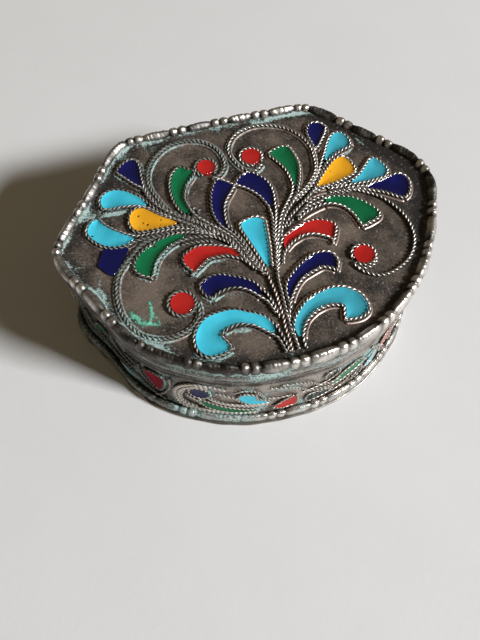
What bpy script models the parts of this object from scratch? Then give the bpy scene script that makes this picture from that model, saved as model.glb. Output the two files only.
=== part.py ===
"""Small enamelled silver box: straight back, slanting back sides, bowed front, lift-off lid.

Frame: origin in the middle of the underside, +X along the longest side, +Y towards the straight
back edge, +Z up. Named sizes are in millimetres, and every mesh is written in metres.
"""

import math

import bmesh
import bpy
import numpy as np

MM = 0.001

# --- Driving dimensions, mm -----------------------------------------------------------------
WIDTH = 66.1               # over the lid's border, side corner to side corner
DEPTH = 50.5               # over the lid's border, back edge to front
# The lid's outline, raised by hand and not quite even, is a smooth line through these places.
# It runs from the middle of the back by way of the left side.
BACK_LEFT = ((0.0, 26.8), (-10.3, 26.6), (-17.2, 26.2), (-20.1, 24.1), (-24.9, 17.2), (-30.1, 10.6))
LEFT_CORNER = ((-32.6, 6.6), (-32.3, 2.6), (-29.5, -2.9))
FRONT = ((-23.1, -14.5), (-11.6, -21.7), (0.0, -23.7), (12.3, -21.9), (23.8, -14.1))
RIGHT_CORNER = ((31.4, -2.0), (33.3, 3.8), (32.4, 8.8))
BACK_RIGHT = ((24.6, 18.5), (20.4, 23.4), (17.0, 25.9), (10.3, 26.5))
CENTRE = (0.29, 1.55)      # of the box, where the places of the outline and pattern are given

# Insets run inwards from the lid's outline, and heights up from the underside.
BASE_THICK = 0.5
BASE_INSET = -0.3          # the floor plate's bare edge stands out a little all round
FOOT_BEAD = (0.7, 1.2)     # half width and half height of the beaded border at the foot
FOOT_INSET = 0.55          # of the bead's middle line
WALL_INSET = 1.3           # outer face of the wall
WALL_THICK = 1.2
LIP_STEP = 0.65            # the lip that the lid slides over is stepped in from the wall
SHOULDER_Z = 15.35         # the step in the wall, where the lid comes to rest
LIP_TOP_Z = 19.0
SKIRT_INSET = 0.8
SKIRT_THICK = 0.85
LID_BEAD = (1.0, 1.5)
LID_BEAD_INSET = 1.0
LID_BEAD_Z = 22.4
PLATE_Z = (21.6, 22.4)     # underside and top of the lid's sunk ground plate
PLATE_INSET = 2.1
GAP = 0.05                 # left between pieces that are soldered or rest on one another

BEAD_REPEATS = 23          # repeats of one olive and two round beads along the border
BEAD_STATIONS = (          # place in one repeat, and thickness there
    (0.00, 0.62), (0.11, 0.90), (0.27, 1.00), (0.43, 0.90),
    (0.54, 0.62), (0.655, 0.93), (0.77, 0.62), (0.885, 0.93),
)
RING_STEPS = 72            # facets round the plain rings and plates

ENAMEL_HIGH = 0.65         # height of an enamel filling at its edge
ENAMEL_CROWN = 0.15        # how much its middle stands above its edge
WIRE_WIDE = 0.5
WIRE_HIGH = 0.85
WALL_RELIEF = 0.6          # the wall's enamels are this much of the height of the lid's

# --- Colours ----------------------------------------------------------------------------------
SILVER = ((0.36, 0.34, 0.31), 0.38, 1.0)
DARK_SILVER = ((0.12, 0.105, 0.095), 0.45, 1.0)
ENAMELS = {
    "turquoise": (0.055, 0.52, 0.66),
    "blue": (0.008, 0.010, 0.16),
    "green": (0.006, 0.22, 0.085),
    "red": (0.55, 0.012, 0.010),
    "yellow": (0.80, 0.38, 0.015),
    "grey": (0.08, 0.16, 0.22),
    "black": (0.012, 0.030, 0.026),
}

# --- Lid pattern, mm --------------------------------------------------------------------------
# A leaf: its tip, the two corners of its head, then how far each side and the head bow outwards.
LID_LEAVES = {
    "centre_turquoise": ((0.05, -5.9), (-1.95, 3.2), (2.0, 3.1), 0.15, 0.15, 0.9),
    "left_inner_green": ((-9.7, 7.2), (-8.9, 17.7), (-7.3, 16.3), 1.9, -1.2, 0.2),
    "left_inner_blue": ((-4.5, 3.2), (-3.2, 13.1), (-1.1, 11.6), 1.5, -0.9, 0.2),
    "left_low_red": ((-3.7, -2.5), (-12.6, -1.0), (-11.4, -2.95), 2.1, -1.15, 0.2),
    "left_low_blue": ((-2.2, -10.3), (-11.1, -6.2), (-10.1, -8.35), 2.0, -1.2, 0.2),
    "left_outer_green": ((-11.0, 3.4), (-20.2, -0.9), (-18.5, -2.2), 1.8, -1.4, 0.2),
    "left_side_blue": ((-20.5, 4.1), (-24.9, 4.4), (-23.6, -0.4), 0.0, 0.1, 1.2),
    "left_side_turquoise": ((-19.3, 5.3), (-24.6, 10.1), (-26.3, 8.3), -0.8, 1.5, 0.3),
    "left_yellow": ((-12.1, 6.2), (-17.5, 10.5), (-17.7, 6.45), 0.1, 0.15, 1.5),
    "left_upper_turquoise": ((-15.8, 11.3), (-22.2, 15.3), (-23.0, 12.5), 1.2, 0.1, 0.3),
    "left_corner_blue": ((-15.8, 15.2), (-19.4, 19.9), (-15.9, 21.0), 0.0, 0.0, 0.6),
    "right_inner_green": ((9.8, 9.2), (10.5, 17.4), (7.2, 16.4), 1.15, -0.35, 0.2),
    "right_inner_blue": ((4.4, 5.0), (2.5, 13.2), (0.1, 11.7), 1.5, -0.6, 0.3),
    "right_low_red": ((4.0, -2.5), (12.6, 0.0), (11.7, -3.0), 1.6, -1.3, 0.4),
    "right_low_blue": ((1.6, -11.9), (10.6, -6.1), (10.5, -8.4), 2.3, -1.6, 0.3),
    "right_outer_green": ((13.6, 3.9), (21.1, -0.5), (17.6, -1.9), 1.7, -1.0, 0.1),
    "right_side_blue": ((21.7, 4.9), (27.6, 5.6), (26.0, 1.8), 0.1, 0.1, 1.1),
    "right_side_turquoise": ((19.3, 6.5), (24.2, 10.5), (25.0, 6.9), 0.0, 0.3, 1.1),
    "right_yellow": ((13.0, 7.2), (18.6, 12.2), (19.8, 8.6), 0.1, 0.4, 0.9),
    "right_upper_turquoise": ((16.4, 12.8), (19.4, 17.8), (21.1, 14.7), 0.1, -0.2, 1.0),
    "right_corner_blue": ((16.0, 15.4), (15.4, 19.5), (18.5, 19.8), 0.3, 0.1, 1.4),
}
# A curl: points along its middle line from tip to head, and its half width at the head.
LID_CURLS = {
    "left_curl_turquoise": (
        ((-2.4, -17.3), (-3.9, -15.2), (-6.4, -13.4), (-9.2, -13.0), (-11.6, -13.9), (-12.3, -16.2)),
        1.95,
    ),
    "right_curl_turquoise": (
        ((0.5, -18.4), (1.6, -16.5), (3.9, -14.6), (6.8, -13.6), (9.4, -14.1), (10.75, -16.2)),
        1.65,
    ),
}
# A dot: its middle and its radius.
LID_DOTS = {
    "left_inner_red": ((-4.26, 16.4), 1.52),
    "left_outer_red": ((-14.73, -8.56), 1.9),
    "right_inner_red": ((4.05, 16.7), 1.7),
    "right_outer_red": ((15.75, -7.75), 1.8),
}
# A scroll wire: points that it runs through, then the ring that it closes into round a dot:
# middle, radius, the angle where it joins, and how far it turns.
LID_SCROLLS = {
    "left_inner_scroll": (
        ((-13.1, 9.8), (-14.2, 12.5), (-14.6, 15.7), (-13.8, 18.9), (-12.1, 21.0), (-9.3, 22.8),
         (-6.2, 23.1), (-3.5, 22.2), (-1.6, 20.2), (-0.8, 17.7), (-1.2, 15.4), (-2.7, 13.9)),
        (-4.26, 16.4), 1.95, -95, -250,
    ),
    "left_outer_scroll": (
        ((-19.2, 3.1), (-21.5, 1.0), (-23.6, -2.3), (-24.2, -5.9), (-23.6, -9.2), (-21.7, -12.3),
         (-18.1, -13.8), (-14.8, -13.1), (-12.9, -11.2)),
        (-14.73, -8.56), 2.35, -25, 280,
    ),
    "right_inner_scroll": (
        ((13.7, 9.9), (14.8, 13.6), (14.9, 15.8), (13.7, 19.2), (11.4, 21.7), (8.2, 23.1),
         (5.2, 23.2), (2.2, 21.8), (0.5, 18.9), (0.9, 16.1), (2.4, 13.9)),
        (4.05, 16.7), 2.15, -80, 260,
    ),
    "right_outer_scroll": (
        ((20.2, 4.3), (23.1, 1.9), (25.0, -1.5), (25.3, -5.5), (23.8, -8.9), (21.0, -11.2),
         (17.9, -12.1), (15.1, -11.2), (13.6, -9.3)),
        (15.75, -7.75), 2.25, 190, -270,
    ),
}

# --- Wall pattern, mm -------------------------------------------------------------------------
# Places on the wall are (run, z): run is measured along the outline from the middle of the back,
# by way of the left side, and z is the height above the underside.
WALL_LEAVES = (
    ("green", (51.8, 9.8), (53.8, 12.9), (54.8, 11.6), 0.4, 0.2, 0.4),
    ("grey", (63.0, 6.0), (57.7, 4.8), (59.2, 3.5), 0.3, 0.4, 0.4),
    ("red", (67.6, 7.2), (68.7, 12.7), (65.0, 12.7), 0.4, 0.3, 1.2),
    ("green", (85.6, 4.5), (75.2, 8.0), (76.3, 5.3), -0.7, 1.1, 0.3),
    ("red", (91.7, 8.2), (92.1, 4.4), (88.3, 4.6), 0.3, 0.3, 1.2),
    ("black", (98.9, 5.2), (94.6, 6.4), (94.7, 3.7), 0.5, 0.4, 0.7),
    ("green", (98.7, 7.3), (102.9, 12.1), (105.0, 10.6), 0.9, 0.5, 0.5),
    ("black", (104.9, 7.9), (105.5, 4.8), (103.8, 4.4), 0.3, 0.2, 0.4),
    ("turquoise", (108.9, 9.4), (106.7, 5.0), (108.8, 4.4), 0.3, 0.4, 0.4),
    ("red", (110.8, 7.0), (113.0, 12.2), (110.5, 12.6), 0.4, 0.4, 0.8),
)
WALL_CURL = ((87.4, 7.8), (85.6, 8.1), (84.0, 8.9), (83.1, 10.6))
WALL_CURL_HALF = 1.5
WALL_OVAL = ((75.1, 10.9), 1.6)
# The sides that face away repeat one leaf, head up, at an even spacing.
PLAIN_START = 120.0
PLAIN_STEP = 14.5
PLAIN_COLOURS = ("blue", "green", "turquoise", "red", "red", "turquoise", "green", "blue")
PLAIN_LEAF = ((0.0, 6.0), (-1.5, 11.4), (1.5, 11.4), 0.45, 0.45, 0.6)


# --- Plan outline -----------------------------------------------------------------------------
def along(points, count):
    """Return count points, evenly spaced along a closed line, starting at its first point."""
    closed = np.vstack([points, points[:1]])
    run = np.concatenate([[0.0], np.cumsum(np.hypot(*np.diff(closed, axis=0).T))])
    at = np.linspace(0.0, run[-1], count, endpoint=False)
    return np.column_stack([np.interp(at, run, closed[:, 0]), np.interp(at, run, closed[:, 1])])


def centripetal(p0, p1, p2, p3, share):
    """Return a point between p1 and p2, with the bends kept even where the spacing is not."""
    gaps = [math.sqrt(np.hypot(*(b - a))) for a, b in ((p0, p1), (p1, p2), (p2, p3))]
    leave = (p1 - p0) / gaps[0] - (p2 - p0) / (gaps[0] + gaps[1]) + (p2 - p1) / gaps[1]
    reach = (p2 - p1) / gaps[1] - (p3 - p1) / (gaps[1] + gaps[2]) + (p3 - p2) / gaps[2]
    leave, reach = leave * gaps[1], reach * gaps[1]
    bend = (3 * (p2 - p1) - 2 * leave - reach) * share ** 2
    return p1 + leave * share + bend + (2 * (p1 - p2) + leave + reach) * share ** 3


def plan_outline(step=0.2):
    """Return the outline from the back's middle round by the left, and its outward normals."""
    places = [np.array(p) for p in BACK_LEFT + LEFT_CORNER + FRONT + RIGHT_CORNER + BACK_RIGHT]
    count = len(places)
    points = []
    for i in range(count):
        four = [places[(i + k) % count] for k in (-1, 0, 1, 2)]
        points += [centripetal(*four, k / 20) for k in range(20)]
    points = np.array(points)
    low, high = points.min(axis=0), points.max(axis=0)
    points = (points - (low + high) / 2) * np.array([WIDTH, DEPTH]) / (high - low)
    points = along(points, int(3 * WIDTH / step))
    ahead = np.roll(points, -1, axis=0) - np.roll(points, 1, axis=0)
    ahead /= np.hypot(ahead[:, 0], ahead[:, 1])[:, None]
    return points, np.column_stack([ahead[:, 1], -ahead[:, 0]])


OUTLINE, NORMALS = plan_outline()
PERIMETER = np.hypot(*(np.roll(OUTLINE, -1, axis=0) - OUTLINE).T).sum()


def on_outline(run, inset):
    """Return the plan point at a run along the outline, moved in by inset."""
    place = (run % PERIMETER) / PERIMETER * len(OUTLINE)
    first = int(place) % len(OUTLINE)
    second = (first + 1) % len(OUTLINE)
    part = place - int(place)
    point = OUTLINE[first] * (1 - part) + OUTLINE[second] * part
    normal = NORMALS[first] * (1 - part) + NORMALS[second] * part
    return point - normal / np.hypot(*normal) * inset


# --- Bodies -----------------------------------------------------------------------------------
def paint(name, colour, roughness, metallic):
    """Return a material with a plain colour, roughness and metallic value."""
    material = bpy.data.materials.new(name)
    material.use_nodes = True
    shader = material.node_tree.nodes["Principled BSDF"]
    shader.inputs["Base Color"].default_value = (*colour, 1.0)
    shader.inputs["Roughness"].default_value = roughness
    shader.inputs["Metallic"].default_value = metallic
    return material


def body(name, points, faces, material, smooth=False):
    """Make one closed body from points in mm and faces, with its faces pointing outwards."""
    mesh = bpy.data.meshes.new(name)
    mesh.from_pydata([tuple(float(c) * MM for c in p) for p in points], [], faces)
    tidy = bmesh.new()
    tidy.from_mesh(mesh)
    bmesh.ops.remove_doubles(tidy, verts=tidy.verts, dist=1e-7)
    bmesh.ops.recalc_face_normals(tidy, faces=tidy.faces)
    tidy.to_mesh(mesh)
    tidy.free()
    if smooth:
        mesh.shade_smooth()
        mesh.set_sharp_from_angle(angle=math.radians(40))
    mesh.materials.append(paint(name, *material))
    item = bpy.data.objects.new(name, mesh)
    bpy.context.collection.objects.link(item)
    return item


def ring_body(name, sections, material, smooth=False):
    """Join like sections, one after another and the last to the first, into a closed ring."""
    sides = len(sections[0])
    points = [point for section in sections for point in section]
    faces = []
    for i in range(len(sections)):
        here = i * sides
        there = (i + 1) % len(sections) * sides
        for k in range(sides):
            after = (k + 1) % sides
            faces.append((here + k, here + after, there + after, there + k))
    return body(name, points, faces, material, smooth)


def plain_ring(name, profile, material):
    """Run a profile of (inset, z) points round the outline."""
    sections = []
    for i in range(RING_STEPS):
        run = PERIMETER * i / RING_STEPS
        sections.append([(*on_outline(run, inset), z) for inset, z in profile])
    return ring_body(name, sections, material)


def bead_border(name, inset, middle_z, half_sizes, material):
    """Run the row of olives and round beads, an oval of changing size, round the outline."""
    half_wide, half_high = half_sizes
    sections = []
    for repeat in range(BEAD_REPEATS):
        for place, size in BEAD_STATIONS:
            run = PERIMETER * (repeat + place) / BEAD_REPEATS
            section = []
            for k in range(6):
                turn = math.tau * (k + 0.5) / 6
                out = half_wide * size * math.cos(turn) / math.cos(math.pi / 6)
                up = half_high * (0.4 + 0.6 * size) * math.sin(turn)
                section.append((*on_outline(run, inset - out), middle_z + up))
            sections.append(section)
    return ring_body(name, sections, material, smooth=True)


def plate(name, inset, low, high, material):
    """Make a flat plate with the box's outline."""
    rim = [on_outline(PERIMETER * i / RING_STEPS, inset) for i in range(RING_STEPS)]
    points = [(*p, low) for p in rim] + [(*p, high) for p in rim]
    faces = [tuple(range(RING_STEPS)), tuple(range(RING_STEPS, 2 * RING_STEPS))]
    for i in range(RING_STEPS):
        after = (i + 1) % RING_STEPS
        faces.append((i, after, RING_STEPS + after, RING_STEPS + i))
    return body(name, points, faces, material)


def bowed(start, end, bow, away_from, steps):
    """Return points on a side from start to end that bows away from a point by bow."""
    start, end = np.array(start), np.array(end)
    run = end - start
    out = np.array([run[1], -run[0]]) / np.hypot(*run)
    if np.dot(out, (start + end) / 2 - np.array(away_from)) < 0:
        out = -out
    shares = np.linspace(0.0, 1.0, steps + 1)
    return [start + run * t + out * bow * 4 * t * (1 - t) for t in shares]


def leaf_grid(tip, corner_a, corner_b, bow_a, bow_b, bow_head, rows=5):
    """Return rows of three plan points each, from a leaf's tip to its head."""
    side_a = bowed(tip, corner_a, bow_a, corner_b, rows)
    side_b = bowed(tip, corner_b, bow_b, corner_a, rows)
    head = (np.array(corner_a) + np.array(corner_b)) / 2 - np.array(tip)
    head /= np.hypot(*head)
    grid = []
    for i, (a, b) in enumerate(zip(side_a, side_b)):
        middle = (a + b) / 2 + head * bow_head * (i / rows) ** 4
        grid.append((a, middle, b))
    return grid


def smooth_run(points, per_span):
    """Return points on a smooth line through the given ones (Catmull-Rom)."""
    pts = [np.array(p, float) for p in points]
    pts = [2 * pts[0] - pts[1]] + pts + [2 * pts[-1] - pts[-2]]
    line = []
    for i in range(1, len(pts) - 2):
        p0, p1, p2, p3 = pts[i - 1:i + 3]
        for k in range(per_span):
            t = k / per_span
            bend = (2 * p0 - 5 * p1 + 4 * p2 - p3) * t * t + (3 * p1 - p0 - 3 * p2 + p3) * t ** 3
            line.append(0.5 * (2 * p1 + (p2 - p0) * t + bend))
    line.append(pts[-2])
    return line


def across(line):
    """Return the unit vector across an open plan line at each of its points."""
    line = np.array(line)
    ahead = np.gradient(line, axis=0)
    ahead /= np.hypot(ahead[:, 0], ahead[:, 1])[:, None]
    return np.column_stack([-ahead[:, 1], ahead[:, 0]])


def curl_grid(points, half):
    """Return rows of three plan points each, widening from a curl's tip to its round head."""
    line = smooth_run(points, 2)
    sides = across(line)
    grid = []
    for i, (point, side) in enumerate(zip(line, sides)):
        width = half * (i / (len(line) - 1)) ** 0.8
        grid.append((point - side * width, point, point + side * width))
    end, side = line[-1], sides[-1] * half
    ahead = np.array([side[1], -side[0]])
    shoulder = 0.75
    narrow = math.sqrt(1 - shoulder ** 2)
    cap = end + ahead * shoulder
    grid.append((cap - side * narrow, end + ahead, cap + side * narrow))
    return grid


def on_lid(x, y, high):
    """Return the model point over a place in the lid's pattern."""
    return (x - CENTRE[0], y - CENTRE[1], PLATE_Z[1] + high)


def on_wall(run, z, high):
    """Return the model point standing off the wall at a run and a height."""
    return (*on_outline(run, WALL_INSET - GAP - (high - GAP) * WALL_RELIEF), z)


def filling(name, grid, place, colour):
    """Make an enamel filling: a tip, rows of three points, a crowned top and a flat back."""
    tip, rows = grid[0][1], grid[1:]
    edge, crown = GAP + ENAMEL_HIGH, GAP + ENAMEL_HIGH + ENAMEL_CROWN
    tops = [place(*tip, edge)]
    tops += [place(*p, crown if k == 1 else edge) for row in rows for k, p in enumerate(row)]
    backs = [place(*tip, GAP)] + [place(*p, GAP) for row in rows for p in row]
    count = len(tops)
    faces = []
    for first in (0, count):
        faces += [(first, first + 1, first + 2), (first, first + 2, first + 3)]
        for a in range(first + 1, first + count - 3, 3):
            faces += [(a, a + 1, a + 4, a + 3), (a + 1, a + 2, a + 5, a + 4)]
    rim = [0, *range(1, count, 3), count - 2, *range(count - 1, 0, -3)]
    for a, b in zip(rim, rim[1:] + rim[:1]):
        faces.append((a, b, count + b, count + a))
    return body(name, tops + backs, faces, (ENAMELS[colour], 0.15, 0.0), smooth=True)


def dot(name, middle, radius, place, colour, sides=14, stretch=1.0):
    """Make a round enamel filling with a crowned top."""
    rim = []
    for k in range(sides):
        turn = math.tau * k / sides
        rim.append((middle[0] + radius * math.cos(turn), middle[1] + radius * stretch * math.sin(turn)))
    points = [place(*p, GAP) for p in rim] + [place(*p, GAP + ENAMEL_HIGH) for p in rim]
    points += [place(*middle, GAP), place(*middle, GAP + ENAMEL_HIGH + ENAMEL_CROWN)]
    faces = []
    for k in range(sides):
        after = (k + 1) % sides
        faces.append((k, after, sides + after, sides + k))
        faces.append((after, k, 2 * sides))
        faces.append((sides + k, sides + after, 2 * sides + 1))
    return body(name, points, faces, (ENAMELS[colour], 0.15, 0.0), smooth=True)


def wire(name, line):
    """Make a plain upstanding wire along a plan line on the lid."""
    points = []
    for point, side in zip(line, across(line)):
        left, right = point - side * WIRE_WIDE / 2, point + side * WIRE_WIDE / 2
        points += [on_lid(*left, GAP), on_lid(*right, GAP)]
        points += [on_lid(*right, WIRE_HIGH), on_lid(*left, WIRE_HIGH)]
    last = len(points) - 4
    faces = [(0, 1, 2, 3), (last, last + 1, last + 2, last + 3)]
    for here in range(0, last, 4):
        for k in range(4):
            after = (k + 1) % 4
            faces.append((here + k, here + after, here + 4 + after, here + 4 + k))
    return body(name, points, faces, SILVER)


def scroll(name, points, ring_middle, ring_radius, joins_at, turn, steps=12):
    """Make a scroll wire that ends in a ring round a dot."""
    line = smooth_run(points, 2)
    for k in range(steps + 1):
        angle = math.radians(joins_at + turn * k / steps)
        line.append(np.array(ring_middle) + ring_radius * np.array([math.cos(angle), math.sin(angle)]))
    return wire(name, line)


# --- The box ----------------------------------------------------------------------------------
def lower_box():
    """The floor, the beaded foot and the wall with the lip that takes the lid."""
    plate("base_plate", BASE_INSET, 0.0, BASE_THICK, SILVER)
    foot_z = BASE_THICK + GAP + FOOT_BEAD[1]
    bead_border("foot_border", FOOT_INSET, foot_z, FOOT_BEAD, SILVER)
    inner = WALL_INSET + WALL_THICK
    lip = WALL_INSET + LIP_STEP
    profile = (
        (WALL_INSET, BASE_THICK + GAP), (WALL_INSET, SHOULDER_Z), (lip, SHOULDER_Z),
        (lip, LIP_TOP_Z), (inner, LIP_TOP_Z), (inner, BASE_THICK + GAP),
    )
    plain_ring("wall_band", profile, DARK_SILVER)


def lid():
    """The skirt, the sunk ground plate and the beaded border, soldered together."""
    top = LID_BEAD_Z - LID_BEAD[1] - GAP
    outer, inner = SKIRT_INSET, SKIRT_INSET + SKIRT_THICK
    low = SHOULDER_Z + GAP
    plain_ring("lid_skirt", ((outer, low), (outer, top), (inner, top), (inner, low)), SILVER)
    plate("lid_plate", PLATE_INSET, *PLATE_Z, DARK_SILVER)
    bead_border("lid_border", LID_BEAD_INSET, LID_BEAD_Z, LID_BEAD, SILVER)


def colour_of(name):
    """Return the enamel colour that ends a piece's name."""
    return name.rsplit("_", 1)[1]


def lid_pattern():
    """The lid's enamel leaves, curls and dots, and its four scroll wires."""
    for name, shape in LID_LEAVES.items():
        filling(f"{name}_leaf", leaf_grid(*shape), on_lid, colour_of(name))
    for name, (points, half) in LID_CURLS.items():
        filling(f"{name}_leaf", curl_grid(points, half), on_lid, colour_of(name))
    for name, (middle, radius) in LID_DOTS.items():
        dot(f"{name}_dot", middle, radius, on_lid, colour_of(name))
    for name, shape in LID_SCROLLS.items():
        scroll(name, *shape)


def wall_pattern():
    """The wall's enamels: the busy front, and the plainer sides and back."""
    for k, (colour, *shape) in enumerate(WALL_LEAVES, start=1):
        filling(f"wall_{k:02d}_{colour}_leaf", leaf_grid(*shape, rows=4), on_wall, colour)
    filling("wall_turquoise_curl", curl_grid(WALL_CURL, WALL_CURL_HALF), on_wall, "turquoise")
    dot("wall_blue_oval", *WALL_OVAL, on_wall, "blue", sides=12, stretch=1.15)
    tip, head_a, head_b, *bows = PLAIN_LEAF
    for k, colour in enumerate(PLAIN_COLOURS, start=1):
        middle = PLAIN_START + PLAIN_STEP * (k - 1)
        shape = [(middle + x, z) for x, z in (tip, head_a, head_b)]
        filling(f"wall_back_{k}_{colour}_leaf", leaf_grid(*shape, *bows, rows=4), on_wall, colour)


for item in list(bpy.data.objects):
    bpy.data.objects.remove(item, do_unlink=True)
lower_box()
lid()
lid_pattern()
wall_pattern()
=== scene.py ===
import math

import bmesh
import bpy
import numpy as np
from mathutils import Matrix, Vector


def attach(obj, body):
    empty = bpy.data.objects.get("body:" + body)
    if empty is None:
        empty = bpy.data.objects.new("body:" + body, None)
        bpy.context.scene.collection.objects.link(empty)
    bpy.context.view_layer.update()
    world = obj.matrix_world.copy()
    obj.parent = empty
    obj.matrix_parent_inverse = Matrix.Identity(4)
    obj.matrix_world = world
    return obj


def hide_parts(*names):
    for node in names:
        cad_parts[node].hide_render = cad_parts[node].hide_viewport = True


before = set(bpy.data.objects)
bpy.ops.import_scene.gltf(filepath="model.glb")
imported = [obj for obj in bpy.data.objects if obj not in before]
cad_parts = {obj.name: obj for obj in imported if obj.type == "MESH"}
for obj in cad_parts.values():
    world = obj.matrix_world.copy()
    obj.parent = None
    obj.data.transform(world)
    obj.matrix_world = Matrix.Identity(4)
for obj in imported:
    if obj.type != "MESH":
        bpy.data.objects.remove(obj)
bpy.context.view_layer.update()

# --- Floor plate ------------------------------------------------------------------------------
# One sheet of silver sawn to the box's outline, soldered under the wall.
# Its bare edge stands out a little all round, and its corners are worn soft.
MM = 0.001
PLAN_CENTRE = np.array((0.29, 1.55))    # where the middle of the box lies in the pattern's own plan
FLOOR_OUT = 0.3                 # how far the floor's edge stands outside the lid's outline
FLOOR_HIGH = 0.5
FLOOR_EDGE, FLOOR_SOFT = 0.14, 0.04     # how much its edge is rounded, and at the middle of the bend
FLOOR_INNER = 1.6               # inset of the flat of its two faces
FLOOR_WANDER = 0.07             # how unevenly its edge was filed
FLOOR_STEPS = 480


def smooth_line(points, per_span=8, closed=False):
    """Return a smooth line through the points a maker would mark, with the bends kept even."""
    pts = np.array(points, float)
    if closed:
        pts = np.vstack([pts[-1:], pts, pts[:2]])
    else:
        pts = np.vstack([2 * pts[:1] - pts[1:2], pts, 2 * pts[-1:] - pts[-2:-1]])
    line = []
    for p0, p1, p2, p3 in zip(pts, pts[1:], pts[2:], pts[3:]):
        a, b, c = (max(np.linalg.norm(q - p), 1e-6) ** 0.5 for p, q in ((p0, p1), (p1, p2), (p2, p3)))
        leave = ((p1 - p0) / a - (p2 - p0) / (a + b) + (p2 - p1) / b) * b
        reach = ((p2 - p1) / b - (p3 - p1) / (b + c) + (p3 - p2) / c) * b
        for t in np.arange(per_span) / per_span:
            line.append(p1 + leave * t + (3 * (p2 - p1) - 2 * leave - reach) * t ** 2
                        + (2 * (p1 - p2) + leave + reach) * t ** 3)
    return np.array(line if closed else line + [pts[-2]])


def runs_along(line):
    """Return how far along a line each of its points is."""
    return np.concatenate([[0.0], np.cumsum(np.linalg.norm(np.diff(line, axis=0), axis=1))])


def even_steps(line, step):
    """Return the line again with its points a step apart."""
    run = runs_along(line)
    at = np.linspace(0.0, run[-1], max(3, int(round(run[-1] / step)) + 1))
    return np.column_stack([np.interp(at, run, axis) for axis in line.T])


sheet_rim = np.array([v.co[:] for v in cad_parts["base_plate"].data.vertices]) / MM
sheet_rim = np.unique(np.round(sheet_rim[sheet_rim[:, 2] < FLOOR_HIGH / 2][:, :2], 4), axis=0)
sheet_rim = sheet_rim[np.argsort(np.arctan2(-sheet_rim[:, 0], sheet_rim[:, 1]) % math.tau)]
back_middle = np.argmin(np.abs(sheet_rim[:, 0] + PLAN_CENTRE[0]) + 99 * (sheet_rim[:, 1] < 0))
sheet_rim = smooth_line(np.roll(sheet_rim, -back_middle, axis=0), 16, closed=True)
ahead = np.roll(sheet_rim, -1, axis=0) - np.roll(sheet_rim, 1, axis=0)
ahead /= np.linalg.norm(ahead, axis=1)[:, None]
OUTWARD = np.column_stack([ahead[:, 1], -ahead[:, 0]])
OUTLINE = sheet_rim - OUTWARD * FLOOR_OUT
OUTLINE, OUTWARD = np.vstack([OUTLINE, OUTLINE[:1]]), np.vstack([OUTWARD, OUTWARD[:1]])
OUTLINE_RUN = runs_along(OUTLINE)
PERIMETER = OUTLINE_RUN[-1]


def on_outline(run, inset):
    """Return plan points at a run round the box, from the back's middle by way of the left."""
    run = np.asarray(run, float) % PERIMETER
    point = [np.interp(run, OUTLINE_RUN, OUTLINE[:, k]) for k in (0, 1)]
    out = [np.interp(run, OUTLINE_RUN, OUTWARD[:, k]) for k in (0, 1)]
    size = np.hypot(*out)
    return np.stack([point[k] - out[k] / size * inset for k in (0, 1)], axis=-1)


def swept_band(profile, steps, swayed):
    """Sweep places (inset, height) round the box; returns the points, and their runs and heights."""
    run = np.arange(steps) * PERIMETER / steps
    rings = [np.column_stack([on_outline(run, swayed(run, inset, high)), np.full(steps, high)])
             for inset, high in profile]
    points = np.stack(rings, axis=1)
    return points, np.repeat(run[:, None], len(profile), axis=1), points[:, :, 2]


def hoop_faces(rings, sides, ring_closed=True, side_closed=True):
    """Return the faces between like rings of points, one ring after another."""
    return [(i * sides + k, i * sides + (k + 1) % sides,
             (i + 1) % rings * sides + (k + 1) % sides, (i + 1) % rings * sides + k)
            for i in range(rings if ring_closed else rings - 1)
            for k in range(sides if side_closed else sides - 1)]


def new_piece(name, points, faces, marks):
    """Make a mesh from points in mm, faces, and values marked on its first points; nought on the rest."""
    mesh = bpy.data.meshes.new(name)
    mesh.from_pydata((np.asarray(points, float).reshape(-1, 3) * MM).tolist(), [], faces)
    mesh.shade_smooth()
    for mark, values in marks.items():
        values = np.pad(np.ravel(values), (0, len(mesh.vertices) - np.size(values)))
        mesh.attributes.new(mark, "FLOAT", "POINT").data.foreach_set("value", values.astype(np.float32))
    piece = bpy.data.objects.new(name, mesh)
    bpy.context.scene.collection.objects.link(piece)
    return piece


def fit(name, points, faces, marks, finish, slot, *nodes):
    """Make a closed piece, give it its finish, and fix it to the box in the place of the plain parts."""
    piece = new_piece(name, points, faces, marks)
    outwards = bmesh.new()
    outwards.from_mesh(piece.data)
    bmesh.ops.recalc_face_normals(outwards, faces=outwards.faces)
    outwards.to_mesh(piece.data)
    outwards.free()
    piece.data.materials.append(finish)
    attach(piece, "root")
    if nodes:
        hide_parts(*nodes)


def ripple(along, up, seed, waves=9):
    """Return the slow uneven wander of handwork, mostly between -1 and 1."""
    draw = np.random.default_rng(seed)
    total = 0.0
    for _ in range(waves):
        turn = draw.uniform(0, math.tau, 2)
        pace = draw.uniform(0.15, 1.5, 2)
        total = total + np.sin(along * pace[0] + turn[0]) * np.cos(up * pace[1] + turn[1])
    return total / waves ** 0.5


def new_effect(name, takes, gives):
    """Start a surface effect from its inputs' names and resting values, and its outputs' names."""
    tree = bpy.data.node_groups.new(name, "ShaderNodeTree")
    for label, value in takes.items():
        kind = "NodeSocketColor" if isinstance(value, tuple) else "NodeSocketFloat"
        tree.interface.new_socket(label, in_out="INPUT", socket_type=kind).default_value = value
    for label in gives:
        kind = "NodeSocketColor" if label == "Colour" else "NodeSocketFloat"
        tree.interface.new_socket(label, in_out="OUTPUT", socket_type=kind)
    return tree, tree.nodes.new("NodeGroupInput").outputs, tree.nodes.new("NodeGroupOutput")


def feed(tree, node, values):
    """Set each value on the node's input of that name, or join it there if it is another's output."""
    for key, value in values.items():
        if isinstance(value, bpy.types.NodeSocket):
            tree.links.new(value, node.inputs[key])
        else:
            node.inputs[key].default_value = value


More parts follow.
